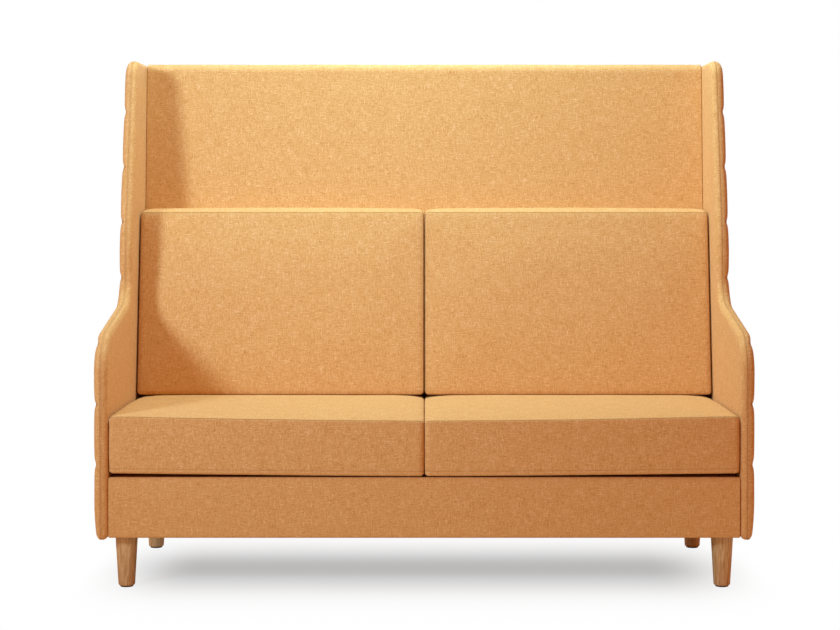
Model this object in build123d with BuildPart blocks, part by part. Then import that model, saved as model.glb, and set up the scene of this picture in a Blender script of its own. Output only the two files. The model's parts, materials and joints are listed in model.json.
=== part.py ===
from build123d import *
from math import cos, radians, sin, tan
import os

os.makedirs("parts", exist_ok=True)

# A high back settee for two. X runs from left to right, Y from the front to the back, Z up.
# The origin is on the floor, in the middle of the settee's outline. All sizes are in mm.

# ------------------------------------------------------------------ overall
WIDTH = 1680.0            # over both side panels
HEIGHT = 1390.0           # floor to the top of the wings
DEPTH = 793.0             # front of the arms to the rear corner of the wings
LEAN = 5.0                # degrees that the back and the panels' rear edges lean back

# ------------------------------------------------------------------ materials
SKIN = 2.0                # upholstery cloth with its lining
QUILT_SKIN = 5.0          # quilted cloth on the outside of the sides and the back
TIMBER = 25.0             # thickness of the frame timbers
SEAL = 0.2                # between sheets that are stapled on each other
FIT = 0.5                 # between the base or back and the side panels

# ------------------------------------------------------------------ side panels
PANEL_DROP = 6.3          # underside of the base to the underside of a side panel
PANEL_ROUND = 17.0        # rounding of its edges
EDGE_FLAT = 1.0           # least flat between the two rounds of such an edge
BOTTOM_ROUND = 20.0       # corner rounds of its outline, seen from the side
ARM_HEIGHT = 642.0        # where the arm's top line meets its front line
ARM_SLOPE = 10.3          # degrees that the arm rises to the back
ARM_ROUND = 105.0
WING_SETBACK = 422.0      # arm front to the wing's front line
WING_FOOT_ROUND = 80.0    # hollow where the arm turns up into the wing
WING_BEND_UP = 230.0      # from the arm's height to where the wing starts to lean back
WING_BEND_ROUND = 600.0
WING_RAKE = 13.8          # degrees of the wing's front edge above the bend
WING_TOP_ROUND = 45.0
REAR_TOP_ROUND = 30.0
CORE = 16.0               # plywood board inside a side panel
INNER_FOAM = 6.0          # foam on the board's inner face
OUTER_FOAM = 7.0          # and on its outer face
CORE_INSET = 10.0         # from the panel's outline to the board's
SEAM_DEPTH = 17.0         # from the inner face to the seam between the two covers

# ------------------------------------------------------------------ quilting
QUILT_FIRST = 322.0       # height of the lowest channel's top seam
QUILT_PITCH = 152.7       # height of one channel
QUILT_TOP_LEFT = 100.0    # least height of cloth above the last seam
QUILT_DEPTH = 3.0
QUILT_ROUND = 12.0

# ------------------------------------------------------------------ back panel
BACK_REVEAL = 9.0         # back's rear face to the side panels' rear edge
BACK_RISE = 7.7           # underside of the base to the lower front corner of the back
BACK_DROP = 4.0           # top of the wings to the top of the back
BACK_TOP_ROUND = 22.0
BACK_FOOT_ROUND = 8.0
BACK_FOAM = 18.0          # foam in front of the timbers
REAR_FOAM = 6.0           # and behind them
BACK_COVER_SPLIT = 26.0   # depth of the seam between front and rear cover
BACK_COVER_UP = 2.4       # from the base's top to where the back's front cover starts
STILE = 50.0
CENTRE_STILE = 60.0
TOP_RAIL = 70.0
LUMBAR_RAIL = 60.0
LUMBAR_UP = 190.0         # seat to the middle of the lumbar rail
BOTTOM_RAIL = 110.0
TOP_WRAP = 8.0            # foam over the top rail
WEB_WIDTH = 60.0
WEB_THICK = 1.5
WEB_COUNT = 6
WEB_LAP = 17.0            # length of webbing on a stile

# ------------------------------------------------------------------ base
BASE_BOTTOM = 134.3
BASE_TOP = 286.6
BORDER_SETBACK = 9.0      # arm front to the front border
BORDER_PAD = 6.0
BORDER_TOP_ROUND = 10.0
BORDER_FOOT_ROUND = 4.0
BORDER_TOP_RETURN = 12.0  # width of the border cloth on the base's top
BORDER_FOOT_RETURN = 26.0
FELT = 5.6
WIRE = 3.8                # diameter of the spring wire
CLIP_STRIP = 1.2          # thickness of a spring clip
CLIP_LONG = 16.0
CLIP_WIDE = 20.0
SPRING_COUNT = 8
SPRING_BAR = 30.0         # straight part of each spring turn
SPRING_PITCH = 36.0       # about the distance from one bar to the next
SPRING_MARGIN = 95.0      # outer springs' centre to the base's side
BLOCK = 90.0              # corner blocks
BLOCK_TALL = 70.0         # as tall as its leg bolt needs
CENTRE_RAIL_TALL = 86.0
DUST_CLOTH = 1.0
DUST_INSET = 6.0
DUST_ROOM = 1.0           # to the border cloth in front and the back behind
DUST_LEG_ROOM = 2.0

# ------------------------------------------------------------------ legs
LEG_IN = 74.0             # settee's side to the legs' centre
LEG_SETBACK = 71.0        # arm front to the front legs' centre
LEG_REAR_IN = 12.0        # rear legs' centre to the back's timbers
LEG_TOP = 58.0            # diameters
LEG_FOOT = 42.0
LEG_FOOT_ROUND = 5.0
GLIDE = 3.0
GLIDE_DIAMETER = 34.0
GLIDE_NAIL = 2.4
GLIDE_NAIL_LONG = 14.0

# ------------------------------------------------------------------ fasteners
BOLT = 8.0                # diameter of all bolts
BOLT_HEAD = 13.0
BOLT_HEAD_TALL = 5.0
BOLT_ROOM = 0.5           # round a bolt where it only passes
THREAD_ROOM = 0.1         # round a bolt in its nut, and round a nut in its hole
LEG_BOLT_DOWN = 38.0      # hanger bolt's length in the leg
LEG_BOLT_UP = 30.0        # and above the leg
SLEEVE = 12.0             # outer diameter of a leg bolt's sleeve nut
SLEEVE_LONG = 22.0
TEE_BARREL = 10.0
TEE_BARREL_LONG = 12.0
TEE_FLANGE = 22.0
TEE_FLANGE_THICK = 1.5
BASE_BOLT_DROP = 37.0     # top of the side rails to their bolts
BASE_BOLT_FRONT = 120.0   # arm front to the first of them
BASE_BOLT_PITCH = 210.0
BASE_BOLT_END = 40.0      # least distance of the last one to the rail's end
BACK_BOLT_UP = 70.0       # seat to the back's lower bolt
BACK_BOLT_DROP = 206.0    # top of the back to its upper bolt

# ------------------------------------------------------------------ cushions
CUSHION_GAP = 2.4         # between the left and the right cushion
FOAM_ROOM = 0.3           # between a cushion's foam and its cover
STATIONS = 5              # sections of each cushion, from its inner to its outer end
SEAT_HEIGHT = 450.0       # floor to the level rear part of the seat
SEAT_SETBACK = 6.0        # arm front to the seat's front seam
SEAT_SIDE_ROOM = 1.5
SEAT_SIT = 0.3            # seat cushion above the base
SEAT_LEVEL = 42.0         # level part of the seat in front of the back cushions
SEAT_SEAM_DROP = 17.0     # crown to front seam, at the middle of the settee
SEAT_SEAM_RISE = 11.0     # how much higher the front seam is at the outer end
SEAT_SEAM_EASE = 1.6
SEAT_LIFT = 5.0           # how much higher the underside is at the outer end
SEAT_CORNER = 12.0
SEAT_BULGE = 5.0          # of the front face, at mid width
SEAT_BULGE_ENDS = 1.0
SEAT_REAR_ROOM = 2.0
BACKREST_RAKE = 9.9       # degrees that a back cushion's front face leans
BACKREST_THICK = 159.6    # at its foot
BACKREST_TALL = 506.0     # seat to the upper front seam
BACKREST_CROWN = 11.0     # rise from the seam to the top, at mid width
BACKREST_CROWN_ENDS = 3.0
BACKREST_REAR_DROP = 4.0  # upper front seam to the upper rear seam
BACKREST_SIDE_ROOM = 6.0
BACKREST_SIT = 0.4        # back cushion above the seat cushion
BACKREST_REAR_ROOM = 1.0
BACKREST_CORNER = 14.0
BACKREST_BULGE = 7.0
BACKREST_BULGE_ENDS = 2.0
ZIP_MARGIN = 80.0         # zip's end to the cushion's end
ZIP_TAPE = 16.0
ZIP_TEETH = 5.0
ZIP_SLIDER = 9.0
ZIP_ROOM = 0.2
ZIP_CUT = 1.0             # how far the slot for it starts outside the cover
SEAT_ZIP_UP = 53.0        # seat cushion's foot to its zip
BACKREST_ZIP_UP = 70.0    # back cushion's foot to its zip

# ------------------------------------------------------------------ worked out from these
front_y = -DEPTH / 2
core_depth = SKIN + INNER_FOAM            # from a side panel's inner face to its board
panel = core_depth + CORE + OUTER_FOAM + QUILT_SKIN
inner_x = WIDTH / 2 - panel               # inner face of the right side panel
base_x = inner_x - FIT                    # side of the base and the back
lean = radians(LEAN)
rake = radians(WING_RAKE)
panel_round = min(PANEL_ROUND, (panel - EDGE_FLAT) / 2)
panel_bottom = BASE_BOTTOM - PANEL_DROP
wing_bend = ARM_HEIGHT + WING_BEND_UP

rail_y = front_y + BORDER_SETBACK + SKIN + BORDER_PAD
rail_bottom = BASE_BOTTOM + SKIN
clip_tall = 2 * CLIP_STRIP + WIRE + 2 * SEAL
rail_top = BASE_TOP - SKIN - SEAL - FELT - SEAL - clip_tall
felt_bottom = rail_top + clip_tall + SEAL
bolt_z = rail_top - BASE_BOLT_DROP

frame_depth = SKIN + BACK_FOAM            # from the back's front face to its timbers
rear_foam_depth = frame_depth + TIMBER
back = rear_foam_depth + REAR_FOAM + QUILT_SKIN
back_bottom = BASE_BOTTOM + BACK_RISE
back_top = HEIGHT - BACK_DROP
back_y = front_y + DEPTH - (HEIGHT - back_bottom) * tan(lean) - BACK_REVEAL - back / cos(lean)
back_long = (back_top - back_bottom) / cos(lean)
back_plane = Plane(origin=(0, back_y, back_bottom), x_dir=(1, 0, 0), z_dir=(0, -cos(lean), sin(lean)))
back_cover_foot = BASE_TOP + BACK_COVER_UP
frame_x = base_x - SKIN
frame_top = back_long - SKIN - TOP_WRAP

quilt_count = int((HEIGHT - QUILT_TOP_LEFT - QUILT_FIRST) / QUILT_PITCH) + 1
quilt_levels = [QUILT_FIRST + QUILT_PITCH * i for i in range(quilt_count)]


def lean_y(depth, z):
    """Y of the plane that lies depth behind the back's front face, at the height z."""
    return back_y + (z - back_bottom) * tan(lean) + depth / cos(lean)


def keep(piece, node):
    """Name a finished piece and write it."""
    piece.part.label = node
    export_step(piece.part, f"parts/{node}.step")


def keep_pair(piece, node):
    """Write a right-hand piece, and its mirror image as the left-hand one."""
    keep(piece, f"{node}_right")
    with BuildPart() as left:
        mirror(piece.part, about=Plane.YZ)
    keep(left, f"{node}_left")


# ------------------------------------------------------------------ side panels
first_bolt_y = front_y + BASE_BOLT_FRONT
bolt_room = lean_y(frame_depth, bolt_z) - BASE_BOLT_END - first_bolt_y
bolt_count = int(bolt_room / BASE_BOLT_PITCH) + 1
bolt_points = [(first_bolt_y + BASE_BOLT_PITCH * i, bolt_z) for i in range(bolt_count)]
stile_bolt_heights = (SEAT_HEIGHT + BACK_BOLT_UP, back_top - BACK_BOLT_DROP)
stile_bolt_points = [(lean_y(frame_depth + TIMBER / 2, z), z) for z in stile_bolt_heights]
side_bolt_points = bolt_points + stile_bolt_points


def side_outline(inset):
    """Face of the side panel's outline, front on the left, drawn in by inset."""
    wing_y = front_y + WING_SETBACK
    wing_foot = ARM_HEIGHT + WING_SETBACK * tan(radians(ARM_SLOPE))
    corners = [
        (front_y, panel_bottom),
        (front_y, ARM_HEIGHT),
        (wing_y, wing_foot),
        (wing_y, wing_bend),
        (wing_y + (HEIGHT - wing_bend) * tan(rake), HEIGHT),
        (front_y + DEPTH, HEIGHT),
        (front_y + DEPTH - (HEIGHT - panel_bottom) * tan(lean), panel_bottom),
    ]
    rounds = [BOTTOM_ROUND, ARM_ROUND, WING_FOOT_ROUND, WING_BEND_ROUND]
    rounds += [WING_TOP_ROUND, REAR_TOP_ROUND, BOTTOM_ROUND]
    with BuildSketch() as outline:
        with BuildLine():
            FilletPolyline(*corners, radius=rounds, close=True)
        make_face()
        if inset:
            offset(amount=-inset)
    return outline.sketch


def side_slab(inset, inside, outside):
    """Round-edged slab of the side panel, drawn in by inset, inside and outside."""
    thick = panel - inside - outside
    inner_round = panel_round - inset
    outer_round = min(inner_round, thick - inner_round - EDGE_FLAT)
    with BuildPart() as slab:
        with BuildSketch(Plane.YZ.offset(inner_x + inside)):
            add(side_outline(inset))
        extrude(amount=thick)
        fillet(slab.faces().sort_by(Axis.X)[0].edges(), inner_round)
        fillet(slab.faces().sort_by(Axis.X)[-1].edges(), outer_round)
    return slab.part


side_padding = side_slab(SKIN, SKIN, QUILT_SKIN)

# Plywood board with a hole for each tee nut.
with BuildPart() as side_core:
    with BuildSketch(Plane.YZ.offset(inner_x + core_depth)):
        add(side_outline(CORE_INSET))
        with Locations(*side_bolt_points):
            Circle(TEE_BARREL / 2 + THREAD_ROOM, mode=Mode.SUBTRACT)
    extrude(amount=CORE)
keep_pair(side_core, "side_core")

# Foam wrapped round the board, holed for the bolts and hollowed for the nuts' flanges.
with BuildPart() as side_foam:
    add(side_padding)
    with BuildSketch(Plane.YZ.offset(inner_x + core_depth)):
        add(side_outline(CORE_INSET))
    extrude(amount=CORE, mode=Mode.SUBTRACT)
    with BuildSketch(Plane.YZ.offset(inner_x)):
        with Locations(*side_bolt_points):
            Circle(BOLT / 2 + BOLT_ROOM)
    extrude(amount=core_depth, mode=Mode.SUBTRACT)
    with BuildSketch(Plane.YZ.offset(inner_x + core_depth + CORE)):
        with Locations(*side_bolt_points):
            Circle(TEE_FLANGE / 2 + BOLT_ROOM)
    extrude(amount=TEE_FLANGE_THICK + BOLT_ROOM, mode=Mode.SUBTRACT)
keep_pair(side_foam, "side_foam")

side_skins = side_slab(0, 0, 0)

# Plain cover: the inner face and the inner half of the edge all round.
with BuildPart() as side_inner_cover:
    add(side_skins)
    add(side_padding, mode=Mode.SUBTRACT)
    split(bisect_by=Plane.YZ.offset(inner_x + SEAM_DEPTH), keep=Keep.BOTTOM)
    with BuildSketch(Plane.YZ.offset(inner_x)):
        with Locations(*side_bolt_points):
            Circle(BOLT / 2 + BOLT_ROOM)
    extrude(amount=SKIN, mode=Mode.SUBTRACT)
keep_pair(side_inner_cover, "side_inner_cover")

# Quilted cover: the outer face, with a sewn groove at each quilting level.
with BuildPart() as side_outer_cover:
    add(side_skins)
    add(side_padding, mode=Mode.SUBTRACT)
    split(bisect_by=Plane.YZ.offset(inner_x + SEAM_DEPTH), keep=Keep.TOP)
    groove_x = WIDTH / 2 - QUILT_DEPTH + QUILT_ROUND
    with BuildSketch(Plane.XZ.offset(-DEPTH)):
        with Locations(*[(groove_x, z) for z in quilt_levels]):
            Circle(QUILT_ROUND)
    extrude(amount=2 * DEPTH, mode=Mode.SUBTRACT)
keep_pair(side_outer_cover, "side_outer_cover")


# ------------------------------------------------------------------ back panel
def back_slab(inset, front, rear):
    """Leaning slab of the back, drawn in by inset all round, by front and by rear."""
    with BuildPart() as slab:
        with BuildSketch(back_plane.offset(-front)):
            with Locations((0, back_long / 2)):
                Rectangle(2 * (base_x - inset), back_long - 2 * inset)
        extrude(amount=front + rear - back)
        long_edges = slab.edges().filter_by(Axis.X).sort_by(Axis.Z)
        fillet(long_edges[-2:], BACK_TOP_ROUND - inset)
        fillet(slab.edges().filter_by(Axis.X).sort_by(Axis.Z)[:2], BACK_FOOT_ROUND - inset)
    return slab.part


def frame_board(x0, x1, y0, y1):
    """Board of the back's frame: x across and y up the back, in the timbers' layer."""
    with BuildPart() as board:
        with BuildSketch(back_plane.offset(-frame_depth)):
            with Locations(((x0 + x1) / 2, (y0 + y1) / 2)):
                Rectangle(x1 - x0, y1 - y0)
        extrude(amount=-TIMBER)
    return board


lumbar_y = (SEAT_HEIGHT + LUMBAR_UP - back_bottom) / cos(lean)
stile_x = frame_x - STILE
bottom_rail_top = SKIN + BOTTOM_RAIL
top_rail_foot = frame_top - TOP_RAIL

back_stile = frame_board(stile_x, frame_x, SKIN, frame_top)
with BuildPart() as drilled_stile:
    add(back_stile.part)
    with BuildSketch(Plane.YZ.offset(stile_x)):
        with Locations(*stile_bolt_points):
            Circle(BOLT / 2 + BOLT_ROOM)
    extrude(amount=STILE, mode=Mode.SUBTRACT)
keep_pair(drilled_stile, "back_stile")

keep(frame_board(-stile_x, stile_x, SKIN, bottom_rail_top), "back_bottom_rail")
keep(frame_board(-stile_x, stile_x, top_rail_foot, frame_top), "back_top_rail")
centre_x = CENTRE_STILE / 2
keep(frame_board(-centre_x, centre_x, bottom_rail_top, top_rail_foot), "back_centre_stile")

half_rail = frame_board(centre_x, stile_x, lumbar_y - LUMBAR_RAIL / 2, lumbar_y + LUMBAR_RAIL / 2)
with BuildPart() as lumbar_rails:
    add(half_rail.part)
    mirror(half_rail.part, about=Plane.YZ)
keep(lumbar_rails, "back_lumbar_rails")

web_foot = back_cover_foot - back_bottom + WEB_WIDTH
web_pitch = (top_rail_foot - web_foot) / WEB_COUNT
with BuildPart() as back_webbing:
    with BuildSketch(back_plane.offset(-frame_depth)):
        with Locations((0, (top_rail_foot + web_foot) / 2)):
            with GridLocations(1, web_pitch, 1, WEB_COUNT):
                Rectangle(2 * (stile_x + WEB_LAP), WEB_WIDTH)
    extrude(amount=WEB_THICK)
keep(back_webbing, "back_webbing")

back_padding = back_slab(SKIN, SKIN, QUILT_SKIN)
back_skins = back_slab(0, 0, 0)

with BuildPart() as back_front_foam:
    add(back_padding)
    split(bisect_by=back_plane.offset(-rear_foam_depth), keep=Keep.TOP)
    with BuildSketch(back_plane.offset(-frame_depth)):
        with Locations((0, frame_top - back_long)):
            Rectangle(WIDTH, 2 * back_long)
    extrude(amount=-2 * TIMBER, mode=Mode.SUBTRACT)
    add(back_webbing.part, mode=Mode.SUBTRACT)
    split(bisect_by=Plane.XY.offset(back_cover_foot + SKIN), keep=Keep.TOP)
keep(back_front_foam, "back_front_foam")

with BuildPart() as back_front_cover:
    add(back_skins)
    add(back_padding, mode=Mode.SUBTRACT)
    split(bisect_by=back_plane.offset(-BACK_COVER_SPLIT), keep=Keep.TOP)
    split(bisect_by=Plane.XY.offset(back_cover_foot), keep=Keep.TOP)
keep(back_front_cover, "back_front_cover")

with BuildPart() as back_rear_foam:
    add(back_padding)
    split(bisect_by=back_plane.offset(-rear_foam_depth), keep=Keep.BOTTOM)
keep(back_rear_foam, "back_rear_foam")

# Quilted at the same levels as the side panels.
with BuildPart() as back_rear_cover:
    add(back_skins)
    add(back_padding, mode=Mode.SUBTRACT)
    split(bisect_by=back_plane.offset(-BACK_COVER_SPLIT), keep=Keep.BOTTOM)
    groove_depth = back + QUILT_ROUND - QUILT_DEPTH
    with BuildSketch(Plane.YZ.offset(-base_x)):
        with Locations(*[(lean_y(groove_depth, z), z) for z in quilt_levels]):
            Circle(QUILT_ROUND)
    extrude(amount=2 * base_x, mode=Mode.SUBTRACT)
    with BuildSketch(Plane.YZ.offset(-base_x)):
        with Locations(*stile_bolt_points):
            Circle(BOLT / 2 + BOLT_ROOM)
    extrude(amount=2 * base_x, mode=Mode.SUBTRACT)
keep(back_rear_cover, "back_rear_cover")


# ------------------------------------------------------------------ base
def cross_piece(corners, x0, x1, rounds=0.0):
    """Solid of one cross-section, given from the side, between x0 and x1."""
    with BuildPart() as piece:
        with BuildSketch(Plane.YZ.offset(x0)):
            with BuildLine():
                FilletPolyline(*corners, radius=rounds, close=True)
            make_face()
        extrude(amount=x1 - x0)
    return piece


def to_the_back(y0, z0, z1, depth):
    """Corners of a timber from y0 to the plane depth behind the back's face."""
    return [(y0, z0), (y0, z1), (lean_y(depth, z1), z1), (lean_y(depth, z0), z0)]


rail_rear = rail_y + TIMBER
side_rail_x = base_x - TIMBER
block_x = side_rail_x - BLOCK
block_top = rail_bottom + BLOCK_TALL
rear_rail_depth = frame_depth - TIMBER / cos(lean)
spring_y0 = rail_y + TIMBER / 2
spring_y1 = (lean_y(frame_depth, rail_top) + lean_y(rear_rail_depth, rail_top)) / 2
spring_xs = [
    (base_x - SPRING_MARGIN) * (2 * i / (SPRING_COUNT - 1) - 1) for i in range(SPRING_COUNT)
]

front_corners = [(rail_y, rail_bottom), (rail_y, rail_top)]
front_corners += [(rail_rear, rail_top), (rail_rear, rail_bottom)]
keep(cross_piece(front_corners, -base_x, base_x), "front_rail")

rear_corners = [
    (lean_y(rear_rail_depth, rail_bottom), rail_bottom),
    (lean_y(rear_rail_depth, rail_top), rail_top),
    (lean_y(frame_depth, rail_top), rail_top),
    (lean_y(frame_depth, rail_bottom), rail_bottom),
]
with BuildPart() as rear_rail:
    add(cross_piece(rear_corners, -side_rail_x, side_rail_x).part)
    with BuildSketch(Plane.XY.offset(rail_bottom)):
        with Locations(
            (-side_rail_x + BLOCK / 2, lean_y(0, rail_bottom)),
            (side_rail_x - BLOCK / 2, lean_y(0, rail_bottom)),
        ):
            Rectangle(BLOCK, 4 * BLOCK)
    extrude(amount=block_top - rail_bottom, mode=Mode.SUBTRACT)
keep(rear_rail, "rear_rail")

side_corners = to_the_back(rail_rear, rail_bottom, rail_top, frame_depth)
with BuildPart() as side_rail:
    add(cross_piece(side_corners, side_rail_x, base_x).part)
    with BuildSketch(Plane.YZ.offset(side_rail_x)):
        with Locations(*bolt_points):
            Circle(BOLT / 2 + BOLT_ROOM)
    extrude(amount=TIMBER, mode=Mode.SUBTRACT)
keep_pair(side_rail, "side_rail")

centre_top = rail_bottom + CENTRE_RAIL_TALL
centre_corners = to_the_back(rail_rear, rail_bottom, centre_top, rear_rail_depth)
keep(cross_piece(centre_corners, -TIMBER / 2, TIMBER / 2), "centre_rail")

# Legs' places: two in front, two under the back's timbers.
leg_x = WIDTH / 2 - LEG_IN
front_leg_y = front_y + LEG_SETBACK
rear_leg_y = lean_y(frame_depth, rail_bottom) - LEG_REAR_IN
leg_places = {
    "front_left_leg": (-leg_x, front_leg_y),
    "front_right_leg": (leg_x, front_leg_y),
    "rear_left_leg": (-leg_x, rear_leg_y),
    "rear_right_leg": (leg_x, rear_leg_y),
}
leg_points = list(leg_places.values())

# One glued block in each corner, holed for the leg bolts' sleeve nuts, and for the side
# bolts where those are low enough to meet it.
front_block = [(rail_rear, rail_bottom), (rail_rear, block_top)]
front_block += [(rail_rear + BLOCK, block_top), (rail_rear + BLOCK, rail_bottom)]
rear_block = to_the_back(lean_y(frame_depth, rail_bottom) - BLOCK, rail_bottom, block_top, frame_depth)
with BuildPart() as corner_blocks:
    for corners in (front_block, rear_block):
        block = cross_piece(corners, block_x, side_rail_x)
        add(block.part)
        mirror(block.part, about=Plane.YZ)
    with BuildSketch(Plane.XY.offset(rail_bottom)):
        with Locations(*leg_points):
            Circle(SLEEVE / 2 + THREAD_ROOM)
    extrude(amount=LEG_BOLT_UP + BOLT_ROOM, mode=Mode.SUBTRACT)
    with BuildSketch(Plane.YZ.offset(-side_rail_x)):
        with Locations(*bolt_points):
            Circle(BOLT_HEAD / 2 + BOLT_ROOM)
    extrude(amount=2 * side_rail_x, mode=Mode.SUBTRACT)
keep(corner_blocks, "corner_blocks")

# Foam on the front rail's face and over its upper edge, and the cloth round it.
pad_y = rail_y - BORDER_PAD
cloth_y = pad_y - SKIN
pad_top = BASE_TOP - SKIN
return_y = cloth_y + BORDER_TOP_RETURN
foot_y = cloth_y + BORDER_FOOT_RETURN
pad_corners = [(pad_y, rail_bottom), (pad_y, pad_top), (return_y, pad_top)]
pad_corners += [(return_y, rail_top), (rail_y, rail_top), (rail_y, rail_bottom)]
pad_rounds = [BORDER_FOOT_ROUND - SKIN, BORDER_TOP_ROUND - SKIN, 0, 0, 0, 0]
keep(cross_piece(pad_corners, -base_x, base_x, pad_rounds), "base_front_pad")

cloth_corners = [(cloth_y, BASE_BOTTOM), (cloth_y, BASE_TOP), (return_y, BASE_TOP), (return_y, pad_top)]
cloth_corners += [(pad_y, pad_top), (pad_y, rail_bottom), (foot_y, rail_bottom), (foot_y, BASE_BOTTOM)]
cloth_rounds = [BORDER_FOOT_ROUND, BORDER_TOP_ROUND, 0, 0]
cloth_rounds += [BORDER_TOP_ROUND - SKIN, BORDER_FOOT_ROUND - SKIN, 0, 0]
keep(cross_piece(cloth_corners, -base_x, base_x, cloth_rounds), "base_front_cover")

# Sinuous springs: bars across, joined by half turns, from the front to the rear rail.
turns = 2 * round((spring_y1 - spring_y0) / SPRING_PITCH / 2)
pitch = (spring_y1 - spring_y0) / turns
spring_z = rail_top + CLIP_STRIP + SEAL + WIRE / 2
bar = SPRING_BAR / 2
with BuildPart() as one_spring:
    with BuildLine(Plane.XY.offset(spring_z)):
        for k in range(turns + 1):
            way = 1 if k % 2 == 0 else -1
            y = spring_y0 + k * pitch
            Line((-way * bar, y), (way * bar, y))
            if k < turns:
                bend = (way * (bar + pitch / 2), y + pitch / 2)
                ThreePointArc((way * bar, y), bend, (way * bar, y + pitch))
    with BuildSketch(Plane(origin=(-bar, spring_y0, spring_z), z_dir=(1, 0, 0))):
        Circle(WIRE / 2)
    sweep()
with BuildPart() as seat_springs:
    with Locations(*[(x, 0, 0) for x in spring_xs]):
        add(one_spring.part)
keep(seat_springs, "seat_springs")

# Folded clips that hold the first and the last bar of each spring on the rails.
with BuildPart() as spring_clips:
    with BuildSketch(Plane.YZ):
        with Locations((spring_y0, rail_top + clip_tall / 2)):
            Rectangle(CLIP_LONG, clip_tall)
        with Locations((spring_y0 + CLIP_STRIP * 2, rail_top + clip_tall / 2)):
            Rectangle(CLIP_LONG, clip_tall - 2 * CLIP_STRIP, mode=Mode.SUBTRACT)
        with Locations((spring_y1, rail_top + clip_tall / 2)):
            Rectangle(CLIP_LONG, clip_tall)
        with Locations((spring_y1 - CLIP_STRIP * 2, rail_top + clip_tall / 2)):
            Rectangle(CLIP_LONG, clip_tall - 2 * CLIP_STRIP, mode=Mode.SUBTRACT)
    extrude(amount=CLIP_WIDE / 2, both=True)
with BuildPart() as all_clips:
    with Locations(*[(x, 0, 0) for x in spring_xs]):
        add(spring_clips.part)
keep(all_clips, "spring_clips")

felt_top = felt_bottom + FELT
deck_y = return_y + SEAL
felt_corners = to_the_back(deck_y, felt_bottom, felt_top, frame_depth - 2 * SEAL)
keep(cross_piece(felt_corners, -base_x, base_x), "seat_deck_felt")
deck_corners = to_the_back(deck_y, BASE_TOP - SKIN, BASE_TOP, frame_depth - 2 * SEAL)
keep(cross_piece(deck_corners, -base_x, base_x), "platform_cover")

# Thin cloth stapled under the rails, cut out round the legs.
dust_front = foot_y + DUST_ROOM
dust_rear = lean_y(frame_depth, rail_bottom) - DUST_ROOM
with BuildPart() as dust_cover:
    with BuildSketch(Plane.XY.offset(rail_bottom - DUST_CLOTH)):
        with Locations((0, (dust_front + dust_rear) / 2)):
            Rectangle(2 * (base_x - DUST_INSET), dust_rear - dust_front)
        with Locations(*leg_points):
            Circle(LEG_TOP / 2 + DUST_LEG_ROOM, mode=Mode.SUBTRACT)
    extrude(amount=DUST_CLOTH)
keep(dust_cover, "dust_cover")


# ------------------------------------------------------------------ legs and fasteners
def turned(profile, x, y):
    """Solid turned about the upright axis at x, y from (radius, height) corners."""
    with BuildPart() as piece:
        with BuildSketch(Plane(origin=(x, y, 0), x_dir=(1, 0, 0), z_dir=(0, -1, 0))):
            with BuildLine():
                Polyline(*profile, close=True)
            make_face()
        revolve(axis=Axis((x, y, 0), (0, 0, 1)))
    return piece


bolt_foot = rail_bottom - LEG_BOLT_DOWN
for node, (x, y) in leg_places.items():
    leg_profile = [(0, GLIDE), (LEG_FOOT / 2, GLIDE), (LEG_TOP / 2, rail_bottom), (0, rail_bottom)]
    blank = turned(leg_profile, x, y)
    with BuildPart() as leg:
        add(blank.part)
        fillet(leg.faces().sort_by(Axis.Z)[0].edges(), LEG_FOOT_ROUND)
        with Locations((x, y, rail_bottom)):
            Hole(BOLT / 2 + THREAD_ROOM, depth=LEG_BOLT_DOWN + BOLT_ROOM)
        with BuildSketch(Plane.XY.offset(GLIDE).move(Location((x, y, 0)))):
            Circle(GLIDE_NAIL / 2 + THREAD_ROOM)
        extrude(amount=GLIDE_NAIL_LONG + BOLT_ROOM, mode=Mode.SUBTRACT)
    keep(leg, node)

with BuildPart() as leg_glides:
    with BuildSketch():
        with Locations(*leg_points):
            Circle(GLIDE_DIAMETER / 2)
    extrude(amount=GLIDE)
    chamfer(leg_glides.faces().filter_by(Plane.XY).group_by(Axis.Z)[0].edges(), GLIDE / 3)
    with BuildSketch(Plane.XY.offset(GLIDE)):
        with Locations(*leg_points):
            Circle(GLIDE_NAIL / 2)
    extrude(amount=GLIDE_NAIL_LONG)
keep(leg_glides, "leg_glides")

with BuildPart() as leg_bolts:
    with BuildSketch(Plane.XY.offset(bolt_foot)):
        with Locations(*leg_points):
            Circle(BOLT / 2)
    extrude(amount=LEG_BOLT_DOWN + LEG_BOLT_UP)
keep(leg_bolts, "leg_bolts")

with BuildPart() as leg_sleeve_nuts:
    with BuildSketch(Plane.XY.offset(rail_bottom)):
        with Locations(*leg_points):
            Circle(SLEEVE / 2)
            Circle(BOLT / 2 + THREAD_ROOM, mode=Mode.SUBTRACT)
    extrude(amount=SLEEVE_LONG)
keep(leg_sleeve_nuts, "leg_sleeve_nuts")

core_far = inner_x + core_depth + CORE    # the board's outer face, where the tee nuts go in


def side_bolts(points, head_x):
    """Bolts from the heads at head_x into the side panels' boards, on both sides."""
    with BuildPart() as bolts:
        with BuildSketch(Plane.YZ.offset(head_x)):
            with Locations(*points):
                Circle(BOLT / 2)
        extrude(amount=core_far - BOLT_ROOM - head_x)
        with BuildSketch(Plane.YZ.offset(head_x - BOLT_HEAD_TALL)):
            with Locations(*points):
                Circle(BOLT_HEAD / 2)
        extrude(amount=BOLT_HEAD_TALL)
        mirror(about=Plane.YZ)
    return bolts


keep(side_bolts(bolt_points, side_rail_x), "base_to_side_bolts")
keep(side_bolts(stile_bolt_points, stile_x), "back_to_side_bolts")

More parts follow.
